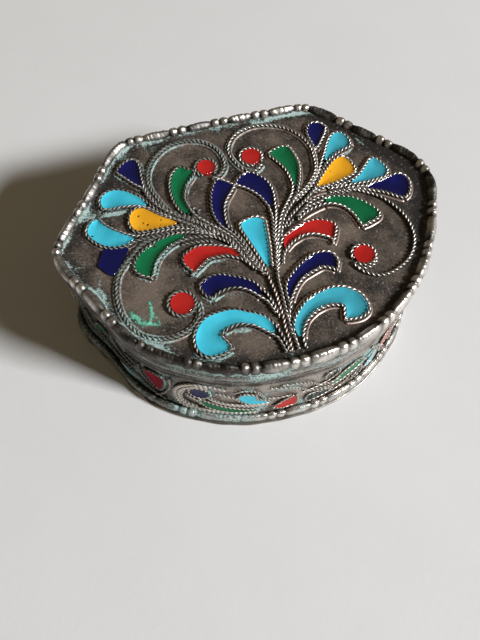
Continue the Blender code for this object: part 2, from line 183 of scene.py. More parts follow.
def put(tree, kind, values, **settings):
    """Place a node and feed it; returns its outputs."""
    node = tree.nodes.new("ShaderNode" + kind)
    for key, setting in settings.items():
        setattr(node, key, setting)
    feed(tree, node, values)
    return node.outputs


def sums(tree, op, *values):
    """Return the output of a sum on sockets or plain numbers."""
    return put(tree, "Math", dict(enumerate(values)), operation=op)[0]


def ease(tree, value, low, high, to_low=0.0, to_high=1.0):
    """Return a value eased from one span to another."""
    return put(tree, "MapRange", {"Value": value, "From Min": low, "From Max": high, "To Min": to_low,
                                  "To Max": to_high}, interpolation_type="SMOOTHSTEP")["Result"]


def blend(tree, over_share, under, over):
    """Return one colour laid over another by a share."""
    return put(tree, "Mix", {0: over_share, 6: under, 7: over}, data_type="RGBA")[2]


def grain(tree, scale, detail=4.0, rough=0.6):
    """Return a cloudy grain fixed to the piece, with so many spots to the metre."""
    return put(tree, "TexNoise", {"Vector": put(tree, "TexCoord", {})["Object"], "Scale": scale,
                                  "Detail": detail, "Roughness": rough})["Fac"]


def marked(tree, mark):
    """Return the value marked on the piece's points."""
    return put(tree, "Attribute", {}, attribute_name=mark)["Fac"]


def new_finish(name, bump, surface):
    """Return a finish whose shader is fed by what the surface puts out for its node tree."""
    material = bpy.data.materials.new(name)
    material.use_nodes = True
    tree = material.node_tree
    values = surface(tree)
    values["Normal"] = put(tree, "Bump", {"Distance": bump, "Height": values.pop("Height")})["Normal"]
    feed(tree, tree.nodes["Principled BSDF"], values)
    return material


# Old silver: a dark sulphide skin, rubbed back to bright metal where hands reach it, with dust in it.
# Where a piece marks it, this bright share also carries painted light and painted shade.
tarnish, took, gave = new_effect(
    "Tarnished silver",
    {"Bright": (0.8, 0.76, 0.7, 1), "Dark": (0.1, 0.08, 0.07, 1), "Wear and painted light": 0.5, "Patchiness": 0.5,
     "Speckle": 0.35, "Softness": 0.0, "Spots per metre": 500.0},
    ("Colour", "Roughness", "Height"))
cloud = grain(tarnish, took["Spots per metre"], 5.0, 0.65)
fine = grain(tarnish, 3600.0, 4.0, 0.7)
dust = grain(tarnish, 2300.0, 2.0, 0.6)
bare = took["Wear and painted light"]
for spots, much in ((cloud, took["Patchiness"]), (fine, took["Speckle"])):
    bare = sums(tarnish, "MULTIPLY_ADD", sums(tarnish, "SUBTRACT", spots, 0.5), much, bare)
bare = ease(tarnish, bare, 0.0, 1.0)
metal = blend(tarnish, bare, took["Dark"], took["Bright"])
dusty = sums(tarnish, "MULTIPLY", took["Speckle"], 0.34)
dusty = sums(tarnish, "MULTIPLY", ease(tarnish, dust, 0.6, 0.72), dusty)
feed(tarnish, gave, {
    "Colour": blend(tarnish, dusty, metal, (0.5, 0.48, 0.44, 1)),
    "Roughness": sums(tarnish, "ADD", ease(tarnish, bare, 0.0, 1.0, 0.46, 0.22), took["Softness"]),
    "Height": sums(tarnish, "MULTIPLY_ADD", fine, 0.7, cloud)})

# Verdigris: a pale crust that grows out of the seams and breaks up at its edges; mint where fresh.
verdigris, took, gave = new_effect(
    "Verdigris",
    {"Colour": (0.1, 0.1, 0.1, 1), "Roughness": 0.5, "Amount": 0.0, "Metal": 0.95,
     "Pale": (0.37, 0.49, 0.46, 1), "Deep": (0.055, 0.1, 0.09, 1), "Mint": (0.15, 0.52, 0.36, 1),
     "Fresh": 0.0, "Height": 0.0},
    ("Colour", "Roughness", "Metallic", "Height"))
crumb = grain(verdigris, 2100.0, 6.0, 0.75)
ragged = sums(verdigris, "MULTIPLY_ADD", took["Fresh"], 4.4, 2.0)
reach = sums(verdigris, "MULTIPLY_ADD", sums(verdigris, "SUBTRACT", crumb, 0.5), ragged, took["Amount"])
cover = ease(verdigris, reach, 0.42, 0.7)
paled = sums(verdigris, "MULTIPLY_ADD", sums(verdigris, "SUBTRACT", took["Amount"], 0.5), 0.25,
             grain(verdigris, 2900.0, 3.0, 0.65))
crust_colour = blend(verdigris, ease(verdigris, paled, 0.41, 0.58), took["Deep"],
                     blend(verdigris, took["Fresh"], took["Pale"], took["Mint"]))
feed(verdigris, gave, {
    "Colour": blend(verdigris, cover, took["Colour"], crust_colour),
    "Roughness": sums(verdigris, "MULTIPLY_ADD", sums(verdigris, "SUBTRACT", 0.85, took["Roughness"]), cover,
                      took["Roughness"]),
    "Metallic": sums(verdigris, "MULTIPLY", took["Metal"], sums(verdigris, "SUBTRACT", 1.0, cover)),
    "Height": sums(verdigris, "MULTIPLY_ADD", cover, crumb, took["Height"])})


def old_silver(name, bright, dark, patchiness, spots, bump=0.00004, metal=0.95, speckle=0.35, softness=0.0):
    """Return a silver finish: rubbed and dark metal, with painted light and shade and verdigris where they
    are marked.
    """
    def surface(tree):
        skin = put(tree, "Group", {
            "Bright": (*bright, 1), "Dark": (*dark, 1), "Wear and painted light": marked(tree, "worn"), "Speckle": speckle,
            "Patchiness": patchiness, "Softness": softness, "Spots per metre": spots}, node_tree=tarnish)
        crust = put(tree, "Group", {
            "Colour": skin["Colour"], "Roughness": skin["Roughness"], "Height": skin["Height"],
            "Metal": metal, "Amount": marked(tree, "verdigris"), "Fresh": marked(tree, "fresh")},
            node_tree=verdigris)
        return {"Base Color": crust["Colour"], "Roughness": crust["Roughness"], "Metallic": crust["Metallic"],
                "Height": crust["Height"]}
    return new_finish(name, bump, surface)


floor_profile = (
    (FLOOR_INNER, 0), (FLOOR_EDGE - FLOOR_OUT, 0), (FLOOR_SOFT - FLOOR_OUT, FLOOR_SOFT),
    (-FLOOR_OUT, FLOOR_EDGE), (-FLOOR_OUT, FLOOR_HIGH - FLOOR_EDGE),
    (FLOOR_SOFT - FLOOR_OUT, FLOOR_HIGH - FLOOR_SOFT),
    (FLOOR_EDGE - FLOOR_OUT, FLOOR_HIGH), (FLOOR_INNER, FLOOR_HIGH))
points, runs, _ = swept_band(
    floor_profile, FLOOR_STEPS,
    lambda run, inset, high: inset - (inset < 0) * FLOOR_WANDER * (ripple(run, 0 * run, 3) - 1))
places = np.arange(runs.size).reshape(runs.shape)
faces = hoop_faces(*runs.shape, side_closed=False) + [tuple(places[:, k].tolist()) for k in (0, -1)]
fit("floor_sheet", points, faces,
    {"worn": 0.45 + 0.2 * ripple(runs, 0 * runs, 4),
     "verdigris": 0.1 + 0.1 * ripple(runs * 0.5, 0 * runs, 5)},
    old_silver("floor_sheet_silver", (0.62, 0.59, 0.54), (0.12, 0.1, 0.085), 0.6, 500.0),
    "silver", "base_plate")

# --- Wall -------------------------------------------------------------------------------------
# A band of silver bent to the outline and soldered on the floor plate. Its upper part is filed
# back inside to a lip that the lid slides over. It is left dark, and a little dented by use.
WALL_INSET, WALL_THICK = 1.3, 1.2
WALL_LOW, SHOULDER_HIGH, LIP_HIGH = 0.55, 15.35, 19.0
LIP_INSET = WALL_INSET + 0.65
WALL_STEPS = 560
WALL_CRUSTS = (                 # run, height, how far along and up, and how much verdigris
    (68.6, 11.0, 1.1, 3.0, 0.5), (76.9, 11.2, 0.9, 2.2, 0.5), (62.4, 6.5, 2.0, 1.5, 0.35),
    (85.8, 4.6, 1.8, 1.4, 0.5), (86.2, 9.8, 1.4, 2.0, 0.4), (80.0, 2.6, 4.0, 1.0, 0.35),
    (90.0, 11.6, 3.0, 1.5, 0.5), (93.6, 4.0, 0.7, 2.0, 0.55), (101.0, 12.6, 4.0, 1.2, 0.4),
    (107.0, 9.0, 3.0, 3.5, 0.4), (72.5, 2.4, 2.5, 1.0, 0.25), (83.5, 13.6, 1.5, 0.8, 0.4))


def near(values, at, reach, power=2):
    """Return 1 where values are at a place, falling to 0 beyond the reach."""
    return np.exp(-((values - at) / reach) ** power)


def share(values, none, full):
    """Return how far values have come from one number to another, kept between 0 and 1."""
    return np.clip((values - none) / (full - none), 0, 1)


def crusts(run, high, spots):
    """Return the verdigris that a few spots leave at runs and heights."""
    return sum(much * near(run, at, along) * near(high, z, up) for at, z, along, up, much in spots)


def wall_green(run, high):
    """Return how much verdigris sits on the wall at a run and a height."""
    left = share(run, 112, 62) * (run > 6)
    return (0.16 + 0.24 * left ** 2 + 0.14 * near(run, 106, 12) + 0.12 * ripple(run * 0.45, high * 0.8, 21)
            + (0.25 * near(high, 14.6, 0.7) + 0.2 * near(high, 2.6, 0.9)) * (0.4 + left)
            + crusts(run, high, WALL_CRUSTS))


inner_inset = WALL_INSET + WALL_THICK
wall_profile = [(WALL_INSET, z) for z in np.linspace(WALL_LOW, SHOULDER_HIGH - 0.12, 26)]
wall_profile += [(WALL_INSET + 0.04, SHOULDER_HIGH - 0.03), (WALL_INSET + 0.14, SHOULDER_HIGH),
                 (LIP_INSET - 0.08, SHOULDER_HIGH), (LIP_INSET, SHOULDER_HIGH + 0.08),
                 (LIP_INSET, LIP_HIGH - 0.15), (LIP_INSET + 0.06, LIP_HIGH - 0.04),
                 (LIP_INSET + 0.2, LIP_HIGH), (inner_inset - 0.15, LIP_HIGH),
                 (inner_inset - 0.04, LIP_HIGH - 0.05), (inner_inset, LIP_HIGH - 0.16)]
wall_profile += [(inner_inset, z) for z in np.linspace(LIP_HIGH - 1, WALL_LOW, 14)]
points, runs, heights = swept_band(
    wall_profile, WALL_STEPS,
    lambda run, inset, high: inset + (high < SHOULDER_HIGH - 0.2) * 0.05 * ripple(run * 0.7, high * 0.5, 11))
# The metal's bright share is painted by run: brighter on the lit front and right, darker on the shaded left.
# This is painted light and painted shade on top of the wear.
fit("wall", points, hoop_faces(*runs.shape),
    {"worn": 0.06 + 0.62 * near(runs, 94, 24, 6) + 0.2 * (runs > 122) + 0.14 * ripple(runs, heights, 12),
     "verdigris": wall_green(runs, heights)},
    old_silver("wall_dark_silver", (0.5, 0.42, 0.36), (0.035, 0.038, 0.034), 1.2, 420.0, 0.00007, 0.5, 0.9),
    "dark_silver", "wall_band")

# --- Foot border ------------------------------------------------------------------------------
# A beaded wire soldered round the foot: one long olive and two round beads, over and over.
# It is pressed from a die in strips, and the beads' tops are worn bright.
BEAD_LONG = 1.62                # length of one round bead; an olive fills the rest of each repeat
FOOT_REPEATS, FOOT_FIRST = 23, 0.8      # how many repeats, and the run of the first two round beads
FOOT_STEPS = 40 * FOOT_REPEATS
FOOT_INSET, FOOT_MIDDLE = 0.55, 1.75
FOOT_HALF_WIDE, FOOT_HALF_HIGH = 0.7, 1.2
PETAL_CUTS = (0.85, 2.1)        # how far round the wire the two grooves of each olive lie


def bead_places(run, pairs):
    """Return for each run its bead's kind (0 olive, 1 and 2 round), its place in it, and its number."""
    pairs = np.sort(np.asarray(pairs) % PERIMETER)
    wide = np.concatenate([pairs[-1:] - PERIMETER, pairs, pairs[:1] + PERIMETER])
    before = np.searchsorted(wide, run, side="right") - 1
    since, until = run - wide[before], wide[before + 1] - run
    kind = np.where(since < BEAD_LONG, 2, np.where(until < BEAD_LONG, 1, 0))
    olive = (since - BEAD_LONG) / (since + until - 2 * BEAD_LONG)
    place = np.where(kind == 2, since / BEAD_LONG, np.where(kind == 1, 1 - until / BEAD_LONG, olive))
    return kind, place, (before % len(pairs)) * 3 + kind


def beaded_wire(inset, middle, half_wide, half_high, pairs, rub, run, sides, seed, knocks=()):
    """Return a beaded wire's points and faces, how far round it each is, and how high it stands."""
    draw = np.random.default_rng(seed)
    kind, place, which = bead_places(run, pairs)
    dome = np.sqrt(np.maximum(1 - np.abs(2 * place - 1) ** np.where(kind == 0, 2.4, 2.2), 0))
    swell = np.where(kind == 0, 0.5 + 0.46 * dome, 0.42 + 0.54 * dome)
    swell = swell * (1 - draw.uniform(0, 0.13, 3 * len(pairs) + 3)[which])
    swell = swell * (1 - rub) + (0.8 + 0.05 * ripple(run * 2.2, 0 * run, seed + 3)) * rub
    swell = (swell + sum(much * near(run, at, half) for at, half, much in knocks))[:, None]
    turn, run = np.arange(sides) * math.tau / sides, run[:, None]
    petal = ((kind == 0) * np.clip(np.sin(np.pi * place), 0, 1) ** 0.5 * (1 - rub))[:, None]
    cut = sum(0.085 * near(turn, at, 0.2) for at in PETAL_CUTS) * petal
    dent = (np.minimum(0.05 * ripple(run * 3, turn * 2, seed + 1), 0)
            + np.minimum(0.05 * ripple(run * 8 + turn * 2, turn * 1.5, seed + 2), 0) - cut)
    out = np.clip(half_wide * (swell + dent) * np.cos(turn), -half_wide, half_wide)
    up = np.clip(half_high * (0.22 + 0.78 * swell + dent) * np.sin(turn), -half_high, half_high)
    points = np.concatenate([on_outline(run + 0 * turn, inset - out), (middle + up)[:, :, None]], axis=2)
    rise = share(swell, 0.66, 0.92) * np.where(kind == 0, 0.6, 1.0)[:, None]
    return points, hoop_faces(len(run), sides), turn, rise * (0.3 + 0.7 * np.clip(0.35 + np.sin(turn), 0, 1))


run = np.arange(FOOT_STEPS) * PERIMETER / FOOT_STEPS
points, faces, turn, rise = beaded_wire(
    FOOT_INSET, FOOT_MIDDLE, FOOT_HALF_WIDE, FOOT_HALF_HIGH,
    FOOT_FIRST + np.arange(FOOT_REPEATS) * PERIMETER / FOOT_REPEATS,
    np.clip(0.35 + 0.3 * ripple(run * 0.3, 0 * run, 31), 0.05, 0.75), run, sides=14, seed=7)
run = run[:, None]
# The beads are painted darker towards run 42, on the shaded left, and brighter near run 100, on the lit front
# right: painted shade and painted light.
clear_of_left_shade = share(np.abs(run - 42), 21, 35)
fit("foot_beaded_wire", points, faces,
    {"worn": (0.16 + 0.7 * rise) * (0.3 + 0.7 * clear_of_left_shade) + 0.22 * near(run, 100, 26, 4),
     "verdigris": wall_green(run + 0 * turn, 2.6 + 0 * rise) - 0.05 - 0.3 * rise},
    old_silver("foot_bead_silver", (0.86, 0.83, 0.78), (0.08, 0.07, 0.06), 0.6, 700.0),
    "silver", "foot_border")

# --- Wall wirework ----------------------------------------------------------------------------
# Two fine silver wires are twisted together, rolled flat and stood on edge, then bent round each
# leaf and soldered to the wall. They fence in the enamel and run on between the leaves as tendrils.
WIRE_PITCH = 1.62               # one full twist
WIRE_HIGH = 0.85
TWIST_STEPS, STRAND_SIDES = 12, 6
STRAND_SWING, STRAND_RISE = 0.165, 0.18       # how far a strand swings sideways, and up and down
STRAND_HALF_WIDE, STRAND_HALF_HIGH = 0.185, 0.21
WIRE_OUT = 0.24                 # from an enamel's edge to the middle of its wire
WALL_RELIEF = 0.6               # the wall's work stands this much as high as the lid's


def sides_of(line):
    """Return the unit vectors across an open line."""
    ahead = np.gradient(line, axis=0)
    ahead /= np.maximum(np.linalg.norm(ahead, axis=1), 1e-9)[:, None]
    return np.column_stack([-ahead[:, 1], ahead[:, 0]])


def ridge_along(line, swing, rise):
    """Return the points and faces of a closed ridge from how far across and up its rings reach."""
    flat = line[:, None] + sides_of(line)[:, None] * swing[:, :, None]
    rings, sides = flat.shape[:2]
    rise = np.broadcast_to(rise, (rings, sides))
    faces = hoop_faces(rings, sides, ring_closed=False)
    faces += [tuple(range(sides)), tuple(range((rings - 1) * sides, rings * sides))]
    return np.concatenate([flat, rise[:, :, None]], axis=2).reshape(-1, 3), faces


def bundle(wires):
    """Return many wires' points and faces as one."""
    faces, base = [], 0
    for points, more_faces in wires:
        faces += [tuple(base + k for k in face) for face in more_faces]
        base += len(points)
    return np.vstack([points for points, _ in wires]), faces


def twisted_wire(points, lift=0.0, phase=0.0, hand=1):
    """Return the points (two across the surface, one out of it) and faces of a twisted wire."""
    line = even_steps(smooth_line(points, 6), WIRE_PITCH / TWIST_STEPS)
    turn = np.arange(STRAND_SIDES) * math.tau / STRAND_SIDES
    strands = []
    for strand in (0, 1):
        twist = (hand * math.tau / TWIST_STEPS * np.arange(len(line)) + phase + math.pi * strand)[:, None]
        plump = 0.92 + 0.1 * np.sin(twist)
        swing = STRAND_SWING * np.cos(twist) + STRAND_HALF_WIDE * plump * np.cos(turn)
        rise = STRAND_HALF_HIGH + STRAND_RISE * (1 + np.sin(twist)) + STRAND_HALF_HIGH * plump * np.sin(turn)
        strands.append(ridge_along(line, swing, rise + 0.01 + lift))
    return bundle(strands)


def solder_seam(points, out, half_wide, high, smooth=8):
    """Return the points and faces of the low smooth seam of solder that runs along a wire's foot."""
    line = even_steps(smooth_line(points, smooth) if smooth else points, 0.3)
    line = line + sides_of(line) * out
    turn = np.linspace(0, math.pi, 5)[None]
    return ridge_along(line, half_wide * np.cos(turn), high * np.sin(turn) - 0.02)


def bowed(start, end, bow, away_from):
    """Return points from start to end that bow away from a place."""
    start, end = np.array(start), np.array(end)
    out = np.array([end[1] - start[1], start[0] - end[0]]) / np.linalg.norm(end - start)
    if np.dot(out, (start + end) / 2 - away_from) < 0:
        out = -out
    return [start + (end - start) * t + out * bow * 4 * t * (1 - t) for t in np.linspace(0, 1, 9)]


def leaf_sides(tip, corner_a, corner_b, bow_a, bow_b, bow_head):
    """Return a leaf's two sides, from its tip to the middle of its head."""
    middle = (np.array(corner_a) + corner_b) / 2
    head = middle - tip
    middle = middle + head / np.linalg.norm(head) * bow_head * 0.75
    return (np.array(bowed(tip, corner_a, bow_a, corner_b) + [middle]),
            np.array(bowed(tip, corner_b, bow_b, corner_a) + [middle]))


def widened(side, other, out):
    """Return one side of a leaf moved out from its other side."""
    across = sides_of(side)
    if np.sum(across * (side - other)) < 0:
        across = -across
    return side + across * out


def round_line(middle, radii, first, turned, steps=24):
    """Return points on part of an oval, by degrees."""
    angles = np.radians(first + turned * np.linspace(0, 1, steps + 1))
    return np.array(middle) + np.column_stack([np.cos(angles), np.sin(angles)]) * radii


def on_wall(points):
    """Return model points for (run, height above the foot, how far out) on the wall."""
    plan = on_outline(points[:, 0], WALL_INSET - 0.02 - points[:, 2] * WALL_RELIEF)
    return np.column_stack([plan, points[:, 1]])


# Each leaf: its tip, the two corners of its head, and how far its sides and its head bow out.
WALL_LEAVES = {
    "wall_01_green_leaf": ((51.8, 9.8), (53.8, 12.9), (54.8, 11.6), 0.4, 0.2, 0.4),
    "wall_02_grey_leaf": ((63.0, 6.0), (57.7, 4.8), (59.2, 3.5), 0.3, 0.4, 0.4),
    "wall_03_red_leaf": ((67.6, 7.2), (68.7, 12.7), (65.0, 12.7), 0.4, 0.3, 1.2),
    "wall_04_green_leaf": ((85.6, 4.5), (75.2, 8.0), (76.3, 5.3), -0.7, 1.1, 0.3),
    "wall_05_red_leaf": ((91.7, 8.2), (92.1, 4.4), (88.3, 4.6), 0.3, 0.3, 1.2),
    "wall_06_black_leaf": ((98.9, 5.2), (94.6, 6.4), (94.7, 3.7), 0.5, 0.4, 0.7),
    "wall_07_green_leaf": ((98.7, 7.3), (102.9, 12.1), (105.0, 10.6), 0.9, 0.5, 0.5),
    "wall_08_black_leaf": ((104.9, 7.9), (105.5, 4.8), (103.8, 4.4), 0.3, 0.2, 0.4),
    "wall_09_turquoise_leaf": ((108.9, 9.4), (106.7, 5.0), (108.8, 4.4), 0.3, 0.4, 0.4),
    "wall_10_red_leaf": ((110.8, 7.0), (113.0, 12.2), (110.5, 12.6), 0.4, 0.4, 0.8),
}
BACK_START, BACK_STEP = 120.0, 14.5
BACK_COLOURS = ("blue", "green", "turquoise", "red", "red", "turquoise", "green", "blue")
back_middles = [BACK_START + BACK_STEP * number for number in range(len(BACK_COLOURS))]
for number, (middle, colour) in enumerate(zip(back_middles, BACK_COLOURS), start=1):
    WALL_LEAVES[f"wall_back_{number}_{colour}_leaf"] = (
        (middle, 6.0), (middle - 1.5, 11.4), (middle + 1.5, 11.4), 0.45, 0.45, 0.6)
WALL_CURL = ((87.4, 7.8), (85.6, 8.1), (84.0, 8.9), (83.1, 10.6))
CURL_HALF_WIDE = 1.5
WALL_OVAL, OVAL_RADII = (75.1, 10.9), np.array((1.6, 1.84))
# The big comma round the oval and the green leaf, and the tendrils of the front.
COMMA_LINES = (
    ((79.8, 13.6), (77.0, 14.4), (74.2, 14.2), (72.2, 12.8), (70.9, 10.8), (70.4, 8.4), (70.6, 6.0),
     (71.5, 4.0), (73.4, 2.9), (76.5, 2.7), (80.5, 2.9), (85.5, 3.1)),
    ((76.6, 13.7), (74.4, 13.4), (72.8, 12.2), (71.6, 10.4), (71.1, 8.4), (71.3, 6.3), (72.1, 4.7),
     (73.9, 3.6), (76.5, 3.4), (80.0, 3.5)),
    ((72.6, 11.2), (72.1, 9.8), (71.8, 8.2), (72.0, 6.6), (72.8, 5.4), (74.6, 4.4)),
    ((72.8, 9.6), (73.3, 8.6), (74.2, 7.8), (75.2, 6.6)),
    ((76.9, 9.3), (78.0, 8.3), (79.6, 7.6), (81.6, 7.3), (83.8, 7.1), (86.4, 6.6)),
    ((77.2, 8.5), (78.6, 7.6), (80.4, 6.9), (82.8, 6.5), (85.0, 6.1)),
    ((77.9, 11.9), (79.4, 11.2), (81.2, 10.3), (82.0, 9.0), (84.2, 7.4), (87.0, 6.6)),
    ((81.0, 12.6), (82.6, 13.6), (84.6, 13.0), (85.6, 11.3), (86.2, 9.8), (88.4, 9.0), (91.0, 8.8)),
    ((70.0, 13.6), (69.9, 10.5), (69.0, 7.6), (67.8, 5.2), (66.4, 3.6)),
    ((63.9, 13.8), (63.6, 11.2), (64.9, 8.6), (66.6, 6.6)),
    ((56.2, 6.8), (59.0, 7.4), (62.0, 7.0), (64.6, 6.0), (66.8, 4.6), (68.6, 3.4)),
    ((49.6, 13.4), (50.2, 10.8), (51.6, 8.8), (54.2, 7.6), (57.0, 7.2)),
    ((56.4, 13.6), (57.6, 11.4), (59.8, 10.2), (62.2, 10.4), (63.0, 12.0), (61.6, 13.2), (60.2, 12.4)),
    ((87.0, 13.6), (90.0, 12.6), (92.6, 10.6), (94.2, 8.6), (96.6, 7.6), (98.6, 7.0)),
    ((89.0, 14.1), (92.2, 13.2), (94.6, 11.6), (96.2, 9.6), (98.4, 8.6), (100.2, 9.4)),
    ((93.0, 8.8), (95.6, 9.4), (98.2, 10.8), (99.6, 12.6), (98.4, 13.8), (96.8, 13.0), (97.0, 11.6)),
    ((99.4, 4.2), (101.6, 5.4), (102.6, 7.2), (104.2, 9.0), (106.4, 9.8), (108.4, 10.0)),
    ((106.6, 13.4), (107.6, 11.6), (109.2, 10.4), (110.2, 8.6), (110.6, 6.8), (111.6, 4.6), (113.4, 3.6)),
    ((114.6, 13.2), (115.0, 10.4), (113.8, 7.6), (114.4, 5.0), (116.4, 3.6)),
)
# Round the back each leaf stands in a heart of two scrolls.
HEART_SCROLL = ((0.0, 4.0), (2.2, 4.6), (3.9, 7.0), (4.5, 10.0), (6.0, 12.6), (8.0, 12.4),
                (8.4, 10.6), (7.2, 9.6), (6.2, 10.4))
wall_cells = {name: leaf_sides(*shape) for name, shape in WALL_LEAVES.items()}
curl_line = even_steps(smooth_line(WALL_CURL), 0.5)
curl_across = sides_of(curl_line) * (CURL_HALF_WIDE * np.linspace(0, 1, len(curl_line)) ** 0.8)[:, None]
curl_end = curl_line[-1] - curl_line[-2]
curl_end = curl_line[-1] + curl_end / np.linalg.norm(curl_end) * 1.4
wall_cells["wall_turquoise_curl"] = (np.vstack([curl_line + curl_across, curl_end]),
                                     np.vstack([curl_line - curl_across, curl_end]))
wall_wires = [twisted_wire(round_line(WALL_OVAL, OVAL_RADII + WIRE_OUT, 90, 360))]
for number, (side_a, side_b) in enumerate(wall_cells.values()):
    wall_wires.append(twisted_wire(widened(side_a, side_b, WIRE_OUT), phase=number))
    wall_wires.append(twisted_wire(widened(side_b, side_a, WIRE_OUT), phase=number + 1))
wall_wires += [twisted_wire(line, phase=0.7 * k) for k, line in enumerate(COMMA_LINES)]
for number, middle in enumerate(back_middles):
    for hand in (-1, 1):
        line = [(middle + hand * x * 0.84, z) for x, z in HEART_SCROLL]
        wall_wires.append(twisted_wire(line, phase=number + hand))
# The comma's wires are flooded with solder, so they read as one broad band.
wall_wires += [solder_seam(COMMA_LINES[k], out, 0.42, 0.76) for k, out in ((0, 0.35), (1, 0.35), (4, -0.35))]


def wire_worn(high):
    """Return how bright a wire is rubbed at a height on it."""
    return 0.06 + 0.94 * share(high, 0.6 * WIRE_HIGH, 0.88 * WIRE_HIGH)


points, faces = bundle(wall_wires)
runs, heights, out = points.T
# The wires are painted darker below run 72, on the shaded left: painted shade.
fit("wall_wirework", on_wall(points), faces,
    {"worn": wire_worn(out) * (0.2 + 0.6 * share(runs, 66, 72)) + 0.2 * share(runs, 68, 74),
     "verdigris": wall_green(runs, heights) + 0.12 - 0.3 * out},
    old_silver("wall_wire_silver", (0.7, 0.64, 0.57), (0.1, 0.088, 0.075), 0.8, 800.0, 0.00003,
               softness=0.15), "silver")

# --- Wall enamels -----------------------------------------------------------------------------
# Powdered glass is packed inside each ring of wire and fired. It sinks as it melts and creeps up
# the wire, so each filling is a shallow glossy dish. On the wall they are scuffed and dull.
ENAMEL_EDGE = 0.66              # how high the glass creeps up its wire
CREEP, CREEP_WIDE = 0.12, 0.1   # how far it drops close to the wire, and over what width
ENAMEL_HOLLOW = 0.32            # how far it drops from there to the middle
ENAMEL_COLOURS = {              # the glass, and the clouds in it
    "turquoise": ((0.068, 0.6, 0.77), (0.05, 0.5, 0.66)),
    "deep_turquoise": ((0.058, 0.43, 0.54), (0.048, 0.36, 0.46)),
    "blue": ((0.004, 0.005, 0.064), (0.006, 0.008, 0.088)),
    "green": ((0.005, 0.15, 0.054), (0.003, 0.115, 0.042)),
    "red": ((0.50, 0.021, 0.018), (0.42, 0.014, 0.012)),
    "yellow": ((0.88, 0.43, 0.022), (0.82, 0.36, 0.014)),
    "pale_turquoise": ((0.24, 0.55, 0.66), (0.3, 0.55, 0.62)),
    "pale_red": ((0.55, 0.09, 0.075), (0.5, 0.14, 0.12)),
    "dark_red": ((0.3, 0.006, 0.022), (0.2, 0.004, 0.014)),
    "grey": ((0.24, 0.42, 0.5), (0.16, 0.28, 0.34)),
    "black": ((0.012, 0.022, 0.020), (0.03, 0.06, 0.05)),
}
# Two leaves on the lit right get paler glass: partly chalky wear, partly a painted reflection of glare.
OTHER_GLASS = {"wall_03_red_leaf": "dark_red", "wall_09_turquoise_leaf": "pale_turquoise",
               "wall_10_red_leaf": "pale_red"}


def closed_under(tops, faces, rim, foot):
    """Return points and faces of a surface closed below its rim by straight sides and a flat foot."""
    count, base = len(rim), len(tops)
    feet = np.column_stack([tops[rim, :2], np.full(count, foot)])
    faces = faces + [(rim[(k + 1) % count], rim[k], base + k, base + (k + 1) % count) for k in range(count)]
    return np.vstack([tops, feet]), faces + [tuple(range(base, base + count))[::-1]]


def enamel_filling(name, side_a, side_b, inset, row_step=0.13, columns=16, pits=(),
                   edge=ENAMEL_EDGE, hollow=ENAMEL_HOLLOW, nose=0.9):
    """Return the points and faces of a filling between two sides that meet at the head, and its pits."""
    at = np.linspace(0, 1, int(max(runs_along(side)[-1] for side in (side_a, side_b)) / row_step) + 1)
    lines = []
    for line in (even_steps(side_a, 0.05), even_steps(side_b, 0.05)):
        lines.append(np.column_stack([np.interp(at, np.linspace(0, 1, len(line)), axis) for axis in line.T]))
    a_in, b_in = widened(*lines, -inset), widened(*lines[::-1], -inset)
    # rows are kept in one unbroken stretch, where the filling has not closed up
    old = lines[1] - lines[0]
    keep = np.sum((b_in - a_in) * old, axis=1) > 0.12 * np.maximum(np.linalg.norm(old, axis=1), 0.15)
    middle = np.flatnonzero(keep)[keep.sum() // 2]
    dropped = np.concatenate([[-1], np.flatnonzero(~keep), [len(keep)]])
    stretch = slice(dropped[dropped < middle].max() + 1, dropped[dropped > middle].min())
    a_in, b_in = a_in[stretch], b_in[stretch]
    spine = (a_in + b_in) / 2
    slim = np.sqrt(np.clip((runs_along(spine) + 0.03) / nose, 0, 1))[:, None] if nose else 1
    a_in, b_in = spine + (a_in - spine) * slim, spine + (b_in - spine) * slim
    spread = -np.cos(np.linspace(0.12, 0.88, columns) * math.pi)
    spread = share(spread, spread[0], spread[-1])[:, None]
    flat = (a_in[:, None] * (1 - spread) + b_in[:, None] * spread).reshape(-1, 2)
    border = even_steps(np.vstack([a_in, b_in[::-1], a_in[:1]]), 0.08)
    gap = np.sqrt(((flat[:, None] - border) ** 2).sum(-1)).min(axis=1)
    high = (edge - CREEP * (1 - np.exp(-gap / CREEP_WIDE))
            - hollow * (1 - (1 - gap / max(gap.max(), 0.3)) ** 2)
            + 0.012 * ripple(flat[:, 0] * 1.6, flat[:, 1] * 1.6, len(name)))
    pitted = np.zeros(len(flat))
    for x, y, reach, deep in pits:
        sunk = np.clip(1.35 - np.hypot(flat[:, 0] - x, flat[:, 1] - y) / reach, 0, 1)
        high -= deep * sunk
        pitted = np.maximum(pitted, sunk)
    places = np.arange(len(flat)).reshape(-1, columns)
    rim = np.concatenate([places[:, 0], places[-1, 1:], places[-2::-1, -1], places[0, -2:0:-1]]).tolist()
    faces = hoop_faces(*places.shape, ring_closed=False, side_closed=False)
    return *closed_under(np.column_stack([flat, high]), faces, rim, 0.02), pitted


